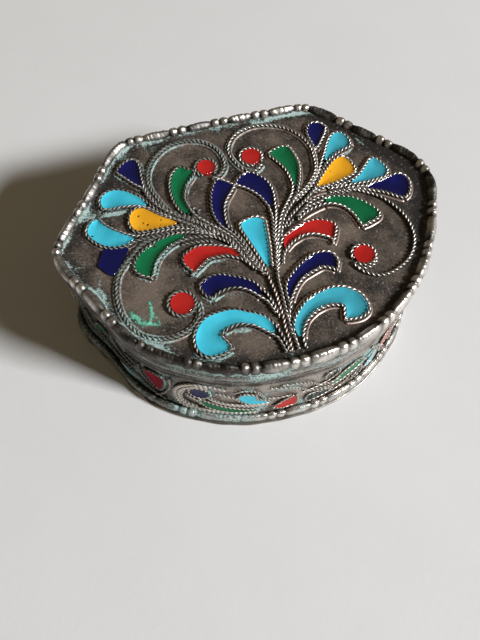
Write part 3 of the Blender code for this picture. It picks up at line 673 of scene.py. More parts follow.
# Enamel: coloured glass with faint clouds in it, dark where a bubble has burst, and dusty specks.
fired_glass, took, gave = new_effect(
    "Fired glass",
    {"Glass": (0.1, 0.5, 0.7, 1), "Cloud": (0.1, 0.4, 0.6, 1), "Pit": 0.0, "Scuff": 0.0},
    ("Colour", "Roughness", "Height"))
cloud = grain(fired_glass, 260.0, 3.0, 0.5)
speck = grain(fired_glass, 2600.0, 2.0, 0.5)
dulled = ease(fired_glass, grain(fired_glass, 800.0, 5.0, 0.7), 0.42, 0.66)
dulled = sums(fired_glass, "MULTIPLY", dulled, took["Scuff"])
tone = blend(fired_glass, ease(fired_glass, cloud, 0.35, 0.7), took["Glass"], took["Cloud"])
for much, strength, stain in ((ease(fired_glass, speck, 0.68, 0.76), 0.35, (0.02, 0.02, 0.018, 1)),
                              (dulled, 0.45, (0.12, 0.12, 0.11, 1)),
                              (ease(fired_glass, took["Pit"], 0.15, 0.6), 1.0, (0.035, 0.018, 0.006, 1))):
    tone = blend(fired_glass, sums(fired_glass, "MULTIPLY", much, strength), tone, stain)
feed(fired_glass, gave, {
    "Colour": tone,
    "Roughness": sums(fired_glass, "ADD", sums(fired_glass, "MULTIPLY_ADD", dulled, 0.4, 0.1),
                      sums(fired_glass, "MULTIPLY", took["Pit"], 0.5)),
    "Height": sums(fired_glass, "MULTIPLY_ADD", speck, 0.4, cloud)})


def enamel_finish(name, colour, scuff=0.0, glassy=1.55):
    """Return a glossy enamel finish in one of the box's colours."""
    def surface(tree):
        glass, clouds = ENAMEL_COLOURS[colour]
        fired = put(tree, "Group", {"Glass": (*glass, 1), "Cloud": (*clouds, 1), "Scuff": scuff,
                                    "Pit": marked(tree, "pit")}, node_tree=fired_glass)
        return {"Base Color": fired["Colour"], "Roughness": fired["Roughness"], "IOR": glassy,
                "Height": fired["Height"]}
    return new_finish(name, 0.00002, surface)


wall_glass = {colour: enamel_finish(f"wall_enamel_{colour}", colour, 0.12, 1.12) for colour in
              ("turquoise", "blue", "green", "red", "grey", "black", "pale_turquoise", "pale_red")}
wall_glass["dark_red"] = enamel_finish("wall_enamel_dark_red", "dark_red", 0.0, 1.03)


def fill_wall_cell(cell, side_a, side_b, columns, piece, node):
    """Fire one of the wall's fillings."""
    points, faces, pits = enamel_filling(cell, side_a, side_b, 0.02, 0.2, columns, hollow=0.05, nose=0)
    colour = next(c for c in wall_glass if c in piece)
    fit(piece, on_wall(points), faces, {"pit": pits}, wall_glass[OTHER_GLASS.get(node, colour)],
        f"enamel_{colour}", node)


for name, (side_a, side_b) in wall_cells.items():
    piece = name.replace("_leaf", "").replace("_curl", "") + "_enamel"
    fill_wall_cell(name, smooth_line(side_a, 4), smooth_line(side_b, 4), 10, piece, name)
fill_wall_cell("wall_oval", *(round_line(WALL_OVAL, OVAL_RADII, 90, turned) for turned in (180, -180)), 12,
               "wall_oval_blue_enamel", "wall_blue_oval")

# --- Lid skirt --------------------------------------------------------------------------------
# The lid's side is a drawn silver strip with two soft ridges along it, bent to the outline and
# soldered under the border. It slides down over the lip until it meets the wall's shoulder.
SKIRT_INSET, SKIRT_THICK = 0.8, 0.85
SKIRT_LOW, SKIRT_TOP = 15.4, 20.85
SKIRT_STEPS = 560
# height, rise and half width of each ridge, then height, reach and verdigris of each hollow
RIDGES = ((15.65, 0.32, 0.2), (16.35, 0.14, 0.2), (17.0, 0.2, 0.22), (18.4, 0.3, 0.7))
HOLLOWS = ((20.0, 0.55, 0.6), (17.5, 0.3, 0.4), (16.7, 0.25, 0.35), (15.4, 0.25, 0.3))
SKIRT_CRUSTS = ((86, 18.8, 5.0, 0.9, 0.62), (96, 18.4, 4.0, 0.9, 0.5), (77, 19.2, 3.0, 0.9, 0.35),
                (71, 19.0, 2.5, 0.9, 0.35), (64, 18.6, 2.0, 0.9, 0.3), (103, 18.8, 4.0, 0.9, 0.3))


def ridge_rise(high):
    """Return how far the strip stands out at a height."""
    return sum(rise * near(high, at, half) for at, rise, half in RIDGES)


skirt_profile = [(SKIRT_INSET + 0.32 - ridge_rise(z), z) for z in np.linspace(SKIRT_LOW + 0.1, SKIRT_TOP, 34)]
skirt_profile += [(SKIRT_INSET + SKIRT_THICK, SKIRT_TOP), (SKIRT_INSET + SKIRT_THICK, SKIRT_LOW + 0.1),
                  (SKIRT_INSET + SKIRT_THICK - 0.1, SKIRT_LOW), (SKIRT_INSET + 0.35, SKIRT_LOW)]
points, runs, heights = swept_band(
    skirt_profile, SKIRT_STEPS, lambda run, inset, high: np.maximum(
        inset + (inset < SKIRT_INSET + 0.4) * 0.04 * ripple(run * 0.6, high, 41), SKIRT_INSET))
left = share(runs, 118, 73) * (runs > 8)
# The ridges are painted darker towards run 42, on the shaded left, and a painted highlight brightens the lit
# front right near run 104.
fit("lid_side_strip", points, hoop_faces(*runs.shape),
    {"worn": 0.02 + 1.7 * ridge_rise(heights) * (0.5 + 0.5 * share(np.abs(runs - 42), 21, 35))
     + 0.12 * ripple(runs, heights, 43) + 0.25 * near(runs, 104, 14, 4),
     "verdigris": 0.16 + 0.12 * ripple(runs * 0.6, heights * 1.2, 42) + crusts(runs, heights, SKIRT_CRUSTS)
     + sum(much * near(heights, at, half) for at, half, much in HOLLOWS) * (0.35 + left)},
    old_silver("skirt_silver", (0.52, 0.46, 0.41), (0.06, 0.053, 0.046), 1.1, 420.0, 0.00006, 0.7, 0.9),
    "silver", "lid_skirt")

# --- Lid ground -------------------------------------------------------------------------------
# The sunk sheet that carries the pattern, blackened and rubbed in patches. It is soldered inside
# the border a little below its beads, and verdigris has crept over it from the seam.
GROUND_LOW, GROUND_TOP = 21.6, 22.4
GROUND_GRID = 0.2
GROUND_INSET = 1.35
SEAM_GREEN = (                  # run round the box, and how much verdigris its seam holds there
    (0, 0.7), (6, 0.65), (12, 0.8), (18, 0.95), (24, 0.75), (30, 0.45), (36, 0.75), (42, 0.95), (48, 0.6),
    (54, 0.85), (60, 0.45), (66, 0.85), (72, 0.6), (78, 0.9), (84, 0.35), (90, 0.4), (96, 0.2), (108, 0.08),
    (150, 0.1), (156, 0.4), (162, 0.5), (168, 0.8), (174, 0.8), (180, 0.7))
LID_SPOTS = (                   # plan place, reach, and how much verdigris
    (-25.4, 11.6, 1.7, 0.7), (-28.6, 2.2, 1.6, 0.5), (-27.2, -3.6, 2.0, 0.45), (-25.8, -5.4, 1.6, 0.35),
    (-20.6, -14.2, 1.5, 0.8), (-18.6, -15.2, 1.2, 0.4), (-17.4, 22.6, 1.2, 0.5), (-12.6, 23.6, 1.8, 0.3),
    (0.2, 24.2, 1.6, 0.4), (13.8, 23.8, 1.4, 0.35), (-1.2, -21.3, 0.7, 0.75), (-12.4, -19.2, 1.3, 0.5),
    (-10.0, -18.9, 0.6, 0.5), (-6.8, -15.5, 0.8, 0.6), (21.0, 13.2, 1.0, 0.4), (23.8, 15.0, 0.9, 0.35),
    (10.6, 6.1, 1.3, 0.3), (-9.9, -8.9, 0.8, 0.3), (-1.6, 14.2, 0.9, 0.3), (1.6, 14.4, 0.8, 0.4),
    (-0.6, 10.2, 0.6, 0.5), (-21.4, 11.1, 1.6, 0.4), (-23.9, -9.6, 1.0, 0.5), (-22.6, -11.4, 1.0, 0.5))
FRESH_STREAKS = (               # the fresh mint squiggle: points of each line, half width, and how much
    (((-22.5, -8.0), (-22.1, -8.9), (-21.6, -9.9), (-20.9, -10.3), (-20.2, -10.4), (-19.5, -10.8)),
     0.34, 1.15),
    (((-20.3, -10.3), (-19.9, -9.6), (-19.6, -8.9)), 0.26, 1.15),
    (((-22.9, -8.7), (-22.2, -8.6), (-21.3, -9.1), (-20.9, -9.9)), 0.18, 0.8),
    (((-19.6, -8.8), (-18.9, -9.9), (-18.8, -10.9)), 0.16, 0.8),
    (((-19.5, -6.9), (-19.5, -7.8), (-19.7, -8.7)), 0.26, 1.15))
OLD_STREAKS = (                 # and the older lines of crust
    (((-23.4, 11.2), (-21.3, 11.1), (-19.6, 11.0), (-18.6, 11.2)), 0.28, 0.8),
    (((-12.1, -4.1), (-11.0, -4.1), (-10.0, -3.5), (-9.2, -2.8), (-8.3, -2.4), (-6.6, -2.6)), 0.26, 0.8),
    (((-17.6, -2.2), (-17.0, -0.6), (-15.9, 0.5), (-14.2, 1.5), (-12.6, 2.0)), 0.28, 0.75),
    (((-10.4, -9.1), (-9.4, -9.2), (-8.0, -8.9), (-6.8, -8.9), (-5.4, -9.4)), 0.22, 0.65),
    (((-9.6, -15.4), (-8.2, -15.4), (-7.0, -15.4), (-5.8, -15.7)), 0.24, 0.7),
    (((-6.4, 15.0), (-7.6, 14.2), (-8.6, 13.2)), 0.3, 0.6),
    (((-2.2, 8.7), (-2.9, 7.6), (-3.2, 6.4), (-3.3, 5.2)), 0.22, 0.55),
    (((-6.9, 13.0), (-6.2, 13.0)), 0.2, 0.5),
    (((23.4, 16.0), (23.9, 14.9), (24.6, 13.9)), 0.3, 0.55),
    (((19.2, 12.7), (20.6, 13.1), (21.8, 13.9)), 0.26, 0.6),
    (((3.2, 22.6), (4.6, 23.2), (6.0, 23.6), (7.6, 23.4), (9.2, 22.8), (10.6, 22.2)), 0.34, 0.7),
    (((6.6, 24.2), (9.0, 24.1), (11.5, 24.5), (14.0, 24.6), (16.2, 24.2)), 0.4, 0.75),
    (((-25.9, -0.2), (-26.6, -2.2), (-25.9, -4.0)), 0.3, 0.5))
RUBBED_PATCHES = (              # plan place, reach, and how much brighter
    (-20.0, -5.0, 3.6, 0.55), (-6.5, -17.8, 2.2, 0.5), (-9.5, 20.5, 2.6, 0.3), (9.5, 19.5, 3.0, 0.25),
    (-1.5, 7.5, 2.4, 0.25), (15.0, -2.5, 3.0, 0.25), (-19.0, -9.5, 2.6, 0.4), (3.8, 13.2, 1.2, 0.3),
    (-3.0, 20.5, 2.5, 0.12), (6.5, -10.5, 2.4, 0.2), (-26.0, -1.0, 2.0, 0.3), (3.6, -6.4, 2.2, 0.5),
    (-10.8, -16.0, 1.3, 0.5), (9.0, -17.0, 3.0, 0.2), (11.5, -3.0, 2.5, 0.25), (0.5, 11.0, 2.0, 0.3),
    (-23.5, 15.0, 3.2, -0.35), (-16.6, 15.5, 2.6, -0.25), (-27.6, 9.5, 2.0, -0.25))


def distance_to(points, line):
    """Return each point's distance to a line of straight pieces."""
    line, gaps = np.array(line), []
    for a, b in zip(line, line[1:]):
        t = np.clip((points - a) @ (b - a) / ((b - a) @ (b - a)), 0, 1)
        gaps.append(np.linalg.norm(points - a - t[:, None] * (b - a), axis=1))
    return np.min(gaps, axis=0)


def patches(plan, spots):
    """Return what round patches add at plan places."""
    return sum(much * near(plan[:, 0], x, reach) * near(plan[:, 1], y, reach) for x, y, reach, much in spots)


def lid_green(plan):
    """Return how much verdigris sits on the lid at plan places, away from its seam."""
    x, y = plan[:, 0], plan[:, 1]
    return (0.03 + 0.1 * share(x, -1, -21) + 0.1 * share(y, 12, 24) + 0.05 * ripple(x * 0.8, y * 0.8, 51)
            + 0.75 * patches(plan, LID_SPOTS)
            + 0.85 * sum(much * near(distance_to(plan, line), 0, half)
                         for line, half, much in FRESH_STREAKS + OLD_STREAKS))


def seam_amount(run):
    """Return how much verdigris the seam under the border holds at a run."""
    runs, amounts = zip(*SEAM_GREEN)
    return np.interp(run, (*runs, PERIMETER), (*amounts, amounts[0]))


def seam_green(plan):
    """Return how much verdigris that seam sheds on to plan places, and their inset from the outline."""
    gap = (((plan - PLAN_CENTRE)[:, None] - OUTLINE[::6]) ** 2).sum(-1)
    inset, run = np.sqrt(gap.min(axis=1)), OUTLINE_RUN[::6][gap.argmin(axis=1)]
    wobble = 0.35 * ripple(run * 1.3, 0 * run, 52)
    return 0.72 * seam_amount(run) * near(np.maximum(inset - 1.65 - 0.6 * wobble, 0), 0, 0.55), inset


grid_x, grid_y = (np.arange(axis.min() - 1, axis.max() + 1, GROUND_GRID) for axis in OUTLINE.T)
grid = np.stack(np.meshgrid(grid_x, grid_y, indexing="ij"), axis=-1).reshape(-1, 2)
crossings = np.zeros(len(grid), int)
sheet_edge = on_outline(np.linspace(0, PERIMETER, 361), GROUND_INSET)
for a, b in zip(sheet_edge, sheet_edge[1:]):
    if abs(b[1] - a[1]) > 1e-9:
        at = a[0] + (grid[:, 1] - a[1]) / (b[1] - a[1]) * (b[0] - a[0])
        crossings += ((a[1] > grid[:, 1]) != (b[1] > grid[:, 1])) & (grid[:, 0] < at)
places = np.arange(len(grid)).reshape(len(grid_x), len(grid_y))
corners = np.stack([places[:-1, :-1], places[1:, :-1], places[1:, 1:], places[:-1, 1:]], axis=-1)
corners = corners[(crossings[corners] % 2 == 1).all(axis=-1)]
used, corners = np.unique(corners, return_inverse=True)
corners = corners.reshape(-1, 4).tolist()
plan = grid[used] + PLAN_CENTRE
x, y = plan.T
seam, inset = seam_green(plan)
green = lid_green(plan) + seam
high = (GROUND_TOP + 0.035 * ripple(x * 0.5, y * 0.5, 54) + 0.28 * np.exp(-np.maximum(inset - 1.9, 0) / 0.3)
        + np.clip(green - 0.45, 0, 0.8) * (0.16 + 0.12 * ripple(x * 6, y * 6, 53, 14)))
# The plate is also painted darker inside the right border, where that border's shadow falls: painted shadow.
rubbed_and_shaded = (0.38 + 0.12 * ripple(x, y, 55) - 0.34 * near(np.maximum(inset - 1.6, 0), 0, 1.5)
          - 0.42 * share(x, 13, 25) * share(y, -9, -4) * near(np.maximum(inset - 2.6, 0), 0, 2.0)
          + patches(plan, RUBBED_PATCHES))
fresh = np.max([near(distance_to(plan, line), 0, 0.9, 4) for line, _, _ in FRESH_STREAKS], axis=0)
# The rim is followed from one edge that only one face has to the next.
edges = dict.fromkeys(edge for face in corners for edge in zip(face, face[1:] + face[:1]))
follow = {a: b for a, b in edges if (b, a) not in edges}
rim = [next(iter(follow))]
while follow[rim[-1]] != rim[0]:
    rim.append(follow[rim[-1]])
points, faces = closed_under(np.column_stack([plan - PLAN_CENTRE, high]), corners, rim, GROUND_LOW)
fit("lid_ground", points, faces, {"worn": rubbed_and_shaded, "verdigris": green, "fresh": fresh},
    old_silver("lid_ground_silver", (0.28, 0.222, 0.18), (0.034, 0.03, 0.028), 1.3, 330.0, 0.00006, 0.4, 1.5),
    "dark_silver", "lid_plate")

# --- Lid border -------------------------------------------------------------------------------
# The same beaded wire as the foot's, but heavier, soldered round the lid's upper edge. Its beads
# are tall; a stretch at the front left is rubbed almost flat.
BORDER_STEPS = 1480
BORDER_INSET, BORDER_MIDDLE = 1.0, 22.4
BORDER_HALF_WIDE, BORDER_HALF_HIGH = 1.0, 1.5
# runs of the middles of the pairs of round beads, as they were pressed and bent
BORDER_PAIRS = (7.0, 15.0, 25.6, 33.3, 42.2, 51.0, 58.9, 66.8, 74.6, 83.4, 91.0, 99.0, 107.1, 115.3, 122.8,
                131.4, 141.3, 150.2, 158.2, 167.3, 175.5, 183.1)
# where the beads are rubbed flat or knocked: run, reach, and how much
BORDER_RUBS = ((70.2, 2.9, 0.9), (77.8, 1.9, 0.7), (20.5, 3.0, 0.3), (37.0, 3.0, 0.3), (47.0, 2.6, 0.4),
               (29.5, 2.5, 0.25), (63.0, 2.0, 0.3), (134.5, 2.5, 0.2))
BORDER_KNOCKS = ((80.1, 0.55, 0.12), (81.5, 0.55, -0.26), (78.8, 0.4, -0.1), (72.3, 0.5, -0.1),
                 (76.6, 0.5, -0.12))
run = np.arange(BORDER_STEPS) * PERIMETER / BORDER_STEPS
rub = 0.06 + 0.06 * ripple(run * 0.4, 0 * run, 61)
rub = np.clip(rub + sum(much * near(run, at, half, 4) for at, half, much in BORDER_RUBS), 0, 0.95)
points, faces, turn, rise = beaded_wire(
    BORDER_INSET, BORDER_MIDDLE, BORDER_HALF_WIDE, BORDER_HALF_HIGH, BORDER_PAIRS, rub, run,
    sides=24, seed=17, knocks=BORDER_KNOCKS)
run, outer, upper = run[:, None], np.cos(turn), np.sin(turn)
inner_side = np.clip(-outer, 0, 1) * np.clip(1.1 - np.abs(upper - 0.1) * 1.2, 0, 1)
outer_low = np.clip(-upper, 0, 1) * np.clip(outer, 0, 1)
left = share(run, 112, 72) * (run > 10)
front_dull = near(run, 71, 12, 4) * np.clip(outer + 0.35, 0, 1)
# on_pairs keeps the round beads near run 151 bright while the olives there are painted dark, as a painted
# dark reflection.
on_pairs = np.max([near(run, middle, 1.8, 4) for middle in BORDER_PAIRS], axis=0)
# The bright share also carries a painted highlight along the crests near run 176, and paints the lit front
# right near run 108 brighter, its outer face most, as a painted reflection of the table.
fit("lid_beaded_wire", points, faces,
    {"worn": 0.02 + 0.15 * left + (0.74 - 0.14 * left) * rise * (1 - 0.6 * front_dull)
     + 0.24 * share(upper, 0.72, 0.92) * near(run, 176, 12, 6) - 0.2 * near(run, 74, 14, 4)
     - (0.24 - 0.3 * on_pairs) * near(run, 151, 15, 6) + 0.14 * near(run, 108, 22, 4)
     + 0.22 * np.clip(outer * 1.4, 0, 1) * near(run, 108, 20, 4) + 0.14 * ripple(run, turn * 2, 62),
     "verdigris": 0.02 + seam_amount(run) * inner_side * 0.62 + 0.6 * outer_low * (0.3 + left) - 0.25 * rise
     + (0.2 * (1 - rise) + 0.15 * outer_low) * near(run, 77, 8)},
    old_silver("lid_bead_silver", (0.93, 0.88, 0.82), (0.045, 0.039, 0.034), 0.8, 600.0, 0.00005,
               softness=0.06),
    "silver", "lid_border")

# --- Lid leaf wires ---------------------------------------------------------------------------
# The same twisted wire, bent by eye round each leaf: both ends run back down the stalk with the
# others, so the stem is a sheaf of wires laid side by side, and each head ends in a nipped point.
LEAVES = {                      # for the outer and the inner wire: tip to head, then down the stalk
    "centre_turquoise_leaf": (
        ((-0.5, -5.7), (-0.7, -4.2), (-0.9, -3.3), (-1.1, -2.3), (-1.95, 1.4), (-2.15, 2.5), (-1.95, 3.35),
         (-1.3, 3.85), (0.1, 4.1)),
        ((-0.4, -8.0), (-0.24, -11.1), (-0.33, -12.6), (-0.38, -14.7), (-0.67, -17.0), (-0.7, -18.7),
         (-0.92, -21.0)),
        ((0.75, -5.6), (0.95, -4.4), (1.3, -3.0), (1.85, 0.0), (2.0, 1.1), (2.2, 2.9), (1.8, 3.55),
         (1.1, 3.95), (0.1, 4.1)),
        ((0.72, -6.0),)),
    "left_low_red_leaf": (
        ((-3.7, -2.0), (-3.9, -1.5), (-4.3, -1.0), (-5.5, -0.3), (-6.2, 0.05), (-8.8, 0.85), (-9.8, 0.95),
         (-10.8, 0.75), (-12.4, -0.1), (-12.8, -0.8), (-12.8, -1.5), (-12.5, -2.4), (-12.0, -3.1),
         (-11.75, -3.7), (-11.9, -4.1)),
        ((-3.3, -3.1), (-2.75, -4.2)),
        ((-3.85, -3.0), (-4.3, -2.75), (-4.9, -2.4), (-5.6, -2.0), (-8.4, -1.85), (-9.2, -2.2),
         (-10.0, -2.8), (-10.6, -3.15), (-11.2, -3.55), (-11.9, -4.1)),
        ((-3.2, -3.6), (-2.4, -4.9), (-1.95, -5.9))),
    "left_low_blue_leaf": (
        ((-2.1, -9.6), (-2.5, -8.5), (-3.2, -7.6), (-5.3, -6.2), (-6.0, -5.9), (-6.6, -5.5), (-8.0, -5.0),
         (-9.0, -5.0), (-10.8, -5.7), (-11.3, -6.4), (-11.25, -7.2), (-10.9, -8.1), (-10.5, -8.6),
         (-10.0, -9.0)),
        ((-1.65, -10.2), (-1.35, -11.2), (-1.0, -13.5), (-0.93, -14.9)),
        ((-2.8, -10.9), (-3.2, -10.3), (-4.4, -9.0), (-5.0, -8.65), (-5.6, -8.3), (-7.2, -8.05),
         (-8.8, -8.35), (-10.0, -9.0)),
        ((-2.2, -11.5), (-1.85, -12.2), (-1.38, -14.1))),
    "left_outer_green_leaf": (
        ((-11.3, 4.1), (-12.3, 4.25), (-14.0, 4.2), (-15.0, 3.95), (-16.0, 3.7), (-18.6, 2.5),
         (-20.0, 1.1), (-20.4, 0.3), (-20.55, -0.5), (-20.3, -1.25), (-19.7, -2.0), (-18.5, -2.75),
         (-18.2, -3.05)),
        ((-10.3, 3.9), (-8.2, 3.0)),
        ((-11.5, 2.8), (-12.3, 2.75), (-13.4, 2.4), (-14.4, 1.9), (-16.0, 0.7), (-17.1, -0.8),
         (-17.4, -1.5), (-18.2, -3.05)),
        ((-10.5, 2.95), (-7.2, 2.35), (-5.3, 1.0), (-4.6, 0.1), (-4.2, -0.9))),
    "left_side_turquoise_leaf": (
        ((-19.3, 4.7), (-20.3, 4.3), (-21.8, 4.2), (-23.3, 4.45), (-24.0, 4.8), (-24.7, 5.25),
         (-25.9, 6.6), (-26.35, 7.4), (-26.55, 8.2), (-26.4, 9.0), (-25.9, 9.8), (-25.2, 10.4),
         (-24.6, 10.6), (-24.0, 10.5)),
        ((-15.0, 4.85), (-13.0, 4.8), (-10.3, 4.1), (-9.2, 3.5)),
        ((-19.3, 5.65), (-19.9, 6.05), (-20.6, 6.5), (-21.3, 7.1), (-22.1, 7.75), (-23.4, 9.2),
         (-23.8, 9.9), (-24.0, 10.5)),
        ((-18.2, 5.4), (-16.0, 5.35), (-12.2, 5.1), (-9.6, 4.2), (-8.6, 3.5), (-7.6, 2.8))),
    "left_yellow_leaf": (
        ((-11.9, 6.95), (-13.2, 7.8), (-14.5, 8.9), (-15.6, 10.0), (-16.5, 10.8), (-17.5, 11.05),
         (-18.5, 10.7), (-19.2, 9.8), (-19.5, 8.6)),
        ((-9.8, 5.2), (-8.9, 4.2), (-7.9, 3.2), (-6.9, 2.4)),
        ((-11.9, 5.75), (-14.5, 5.9), (-18.1, 6.2), (-18.9, 6.6), (-19.4, 7.5), (-19.5, 8.6)),
        ((-10.8, 5.3), (-9.9, 4.7), (-8.9, 3.8))),
    "left_upper_turquoise_leaf": (
        ((-15.6, 11.7), (-16.1, 12.5), (-16.8, 13.4), (-18.4, 14.9), (-19.2, 15.4), (-20.1, 15.75),
         (-21.0, 15.85), (-22.0, 15.65), (-22.8, 15.05), (-23.25, 14.2), (-23.35, 13.2), (-23.1, 12.3)),
        ((-15.2, 11.0), (-13.9, 9.2), (-11.7, 7.1), (-10.5, 6.2), (-9.3, 5.2), (-8.2, 4.1), (-6.1, 2.2)),
        ((-16.3, 10.9), (-17.2, 11.3), (-18.2, 11.6), (-19.3, 11.8), (-20.5, 11.9), (-21.5, 11.9),
         (-22.4, 12.0), (-23.1, 12.3)),
        ((-15.5, 10.3), (-14.6, 9.4), (-13.5, 8.4), (-11.2, 6.5))),
    "left_corner_blue_leaf": (
        ((-15.9, 14.9), (-16.6, 15.6), (-17.2, 16.3), (-18.3, 17.8), (-18.9, 18.6), (-19.3, 19.2),
         (-19.2, 19.8), (-18.0, 20.95), (-16.6, 21.5), (-15.9, 21.3), (-15.4, 20.8)),
        ((-15.6, 13.9), (-15.35, 12.7), (-14.2, 10.5), (-13.4, 9.5), (-11.3, 7.5)),
        ((-15.45, 15.0), (-15.45, 16.0), (-15.35, 18.0), (-15.25, 19.0), (-15.25, 20.0), (-15.4, 20.8)),
        ((-15.2, 14.0), (-14.9, 12.9), (-14.4, 11.7), (-13.75, 10.6), (-11.9, 8.5), (-10.8, 7.5),
         (-9.6, 6.5), (-8.5, 5.4), (-7.4, 4.2), (-6.3, 3.1), (-4.7, 1.2), (-4.1, 0.1), (-3.75, -1.2),
         (-3.4, -2.6))),
    "left_inner_green_leaf": (
        ((-10.1, 7.5), (-10.7, 8.5), (-11.35, 10.8), (-11.4, 11.8), (-11.4, 13.0), (-11.2, 14.3),
         (-10.8, 15.5), (-10.3, 16.5), (-8.9, 17.7), (-8.4, 17.75), (-7.9, 17.3), (-7.4, 16.8),
         (-6.9, 16.45), (-6.3, 16.2)),
        ((-8.6, 5.9), (-6.6, 3.7), (-5.6, 2.6), (-4.0, 0.4), (-3.1, -2.6), (-2.6, -4.2), (-2.05, -5.5)),
        ((-8.9, 7.6), (-9.1, 8.2), (-9.45, 10.0), (-9.5, 11.0), (-9.15, 12.1), (-8.2, 13.8), (-7.4, 14.6),
         (-6.9, 15.2), (-6.3, 16.2)),
        ((-8.5, 6.8), (-7.8, 5.9), (-6.1, 3.8), (-5.2, 2.8), (-3.7, 0.7), (-2.25, -3.9), (-1.1, -7.0))),
    "left_inner_blue_leaf": (
        ((-5.0, 3.6), (-5.3, 4.4), (-5.6, 5.4), (-5.7, 7.4), (-5.55, 8.4), (-4.95, 10.6), (-4.4, 11.7),
         (-3.9, 12.6), (-3.3, 13.2), (-2.9, 13.25), (-2.3, 12.9), (-1.1, 11.8), (-0.6, 11.2)),
        ((-4.5, 2.9), (-3.8, 1.9), (-3.2, 0.8), (-2.75, -0.5), (-2.45, -2.0), (-0.9, -7.1)),
        ((-3.85, 3.4), (-3.9, 4.4), (-3.85, 5.2), (-3.7, 6.0), (-3.5, 7.0), (-3.1, 8.0), (-2.5, 8.9),
         (-1.3, 10.3), (-0.6, 11.2)),
        ((-3.0, 1.8), (-2.6, 0.8), (-1.65, -3.2), (-0.75, -6.5))),
    "right_low_red_leaf": (
        ((3.6, -2.0), (4.0, -1.2), (5.5, -0.3), (6.5, 0.2), (7.4, 0.5), (8.2, 0.75), (10.0, 0.9),
         (11.0, 0.72), (12.0, 0.3), (12.7, -0.2), (13.2, -0.9), (13.2, -1.6), (12.5, -3.0), (12.1, -3.7),
         (11.5, -4.4)),
        ((3.1, -2.6), (2.8, -3.3), (2.1, -5.0), (1.85, -5.8), (1.5, -6.6), (1.2, -7.4)),
        ((3.8, -3.5), (4.7, -2.8), (5.5, -2.3), (6.6, -1.9), (7.5, -1.65), (9.3, -1.9), (10.2, -2.4),
         (11.0, -2.9), (11.5, -3.4), (11.7, -3.9), (11.5, -4.4)),
        ((3.2, -4.2), (2.8, -5.1), (2.5, -6.0))),
    "right_low_blue_leaf": (
        ((1.55, -10.2), (2.0, -9.3), (3.6, -7.8), (4.4, -7.2), (7.1, -5.65), (8.1, -5.45), (9.0, -5.45),
         (9.8, -5.6), (10.4, -5.9), (10.9, -6.4), (11.1, -7.8), (10.6, -9.0), (10.3, -9.4)),
        ((1.3, -11.1), (1.1, -13.2), (0.8, -14.2), (0.5, -14.9), (0.32, -15.7)),
        ((1.6, -12.8), (2.2, -11.9), (3.0, -10.9), (4.0, -9.9), (5.0, -9.2), (6.0, -8.85), (8.5, -8.2),
         (9.1, -8.4), (10.0, -9.0), (10.3, -9.4)),
        ((1.15, -14.1),)),
    "right_outer_green_leaf": (
        ((13.3, 4.5), (14.0, 4.75), (15.0, 4.65), (16.0, 4.35), (18.0, 3.6), (19.5, 2.25), (20.1, 1.5),
         (20.7, 0.7), (21.1, -0.1), (21.2, -0.9), (20.8, -1.55), (19.8, -1.95), (18.8, -2.25),
         (17.4, -2.5)),
        ((12.2, 4.1), (11.2, 3.95), (10.0, 3.6), (8.8, 2.9), (7.8, 2.1)),
        ((13.2, 3.35), (14.2, 3.1), (15.7, 2.15), (16.7, 0.5), (17.0, -0.4), (17.15, -1.3), (17.4, -2.5)),
        ((12.4, 3.4), (10.3, 3.0), (9.2, 2.6), (8.3, 2.1), (7.5, 1.5))),
    "right_side_blue_leaf": (
        ((21.0, 5.2), (22.3, 5.45), (23.6, 5.6), (26.6, 6.2), (27.8, 6.0), (28.5, 5.1), (28.6, 4.0),
         (28.1, 2.6), (27.4, 1.6), (26.5, 1.05)),
        ((20.0, 5.35), (18.8, 5.5), (17.5, 5.55)),
        ((21.0, 4.5), (22.0, 3.95), (23.6, 3.1), (25.2, 1.85), (25.9, 1.3), (26.5, 1.05)),
        ((20.0, 4.95), (19.0, 5.1))),
    "right_side_turquoise_leaf": (
        ((18.9, 6.95), (20.0, 7.35), (21.0, 8.0), (23.0, 9.8), (23.8, 10.5), (24.4, 10.75), (24.9, 10.5),
         (25.4, 9.8), (26.1, 7.9), (25.9, 7.0), (25.4, 6.3)),
        ((17.9, 6.8), (16.4, 6.75), (14.6, 6.8), (13.2, 6.55), (12.2, 6.2)),
        ((18.9, 6.1), (20.1, 5.95), (21.8, 5.9), (24.5, 6.1), (25.4, 6.3)),
        ((17.6, 6.1), (15.3, 6.15), (14.6, 6.3))),
    "right_yellow_leaf": (
        ((12.9, 7.6), (13.7, 8.5), (16.8, 11.45), (17.7, 12.1), (18.6, 12.45), (19.5, 12.3), (20.1, 11.65),
         (20.5, 10.8)),
        ((11.3, 6.1), (7.3, 3.2), (6.3, 2.4), (5.5, 1.6), (4.9, 0.8)),
        ((12.9, 7.0), (14.0, 6.95), (15.4, 7.1), (16.6, 7.2), (17.4, 7.4), (18.3, 7.6), (19.3, 7.9),
         (20.1, 8.2), (20.6, 8.8), (20.75, 9.7), (20.5, 10.8)),
        ((12.4, 6.6), (11.9, 6.1))),
    "right_upper_turquoise_leaf": (
        ((15.9, 12.8), (16.9, 14.3), (17.35, 15.1), (18.3, 16.55), (18.9, 17.25), (19.5, 17.75),
         (20.2, 18.0), (21.0, 17.8), (21.6, 17.15), (21.95, 16.3), (22.05, 15.4), (21.8, 14.5)),
        ((14.9, 11.2), (14.2, 10.1), (12.5, 8.1), (11.4, 7.2), (10.3, 6.5), (9.2, 5.7)),
        ((16.6, 12.1), (17.1, 12.4), (17.8, 12.85), (19.4, 13.6), (20.3, 13.9), (21.1, 14.05),
         (21.8, 14.5)),
        ((14.6, 9.9), (13.8, 9.1))),
    "right_corner_blue_leaf": (
        ((15.2, 15.7), (15.25, 16.6), (15.15, 17.4), (15.15, 19.2), (15.8, 20.7), (16.5, 21.15),
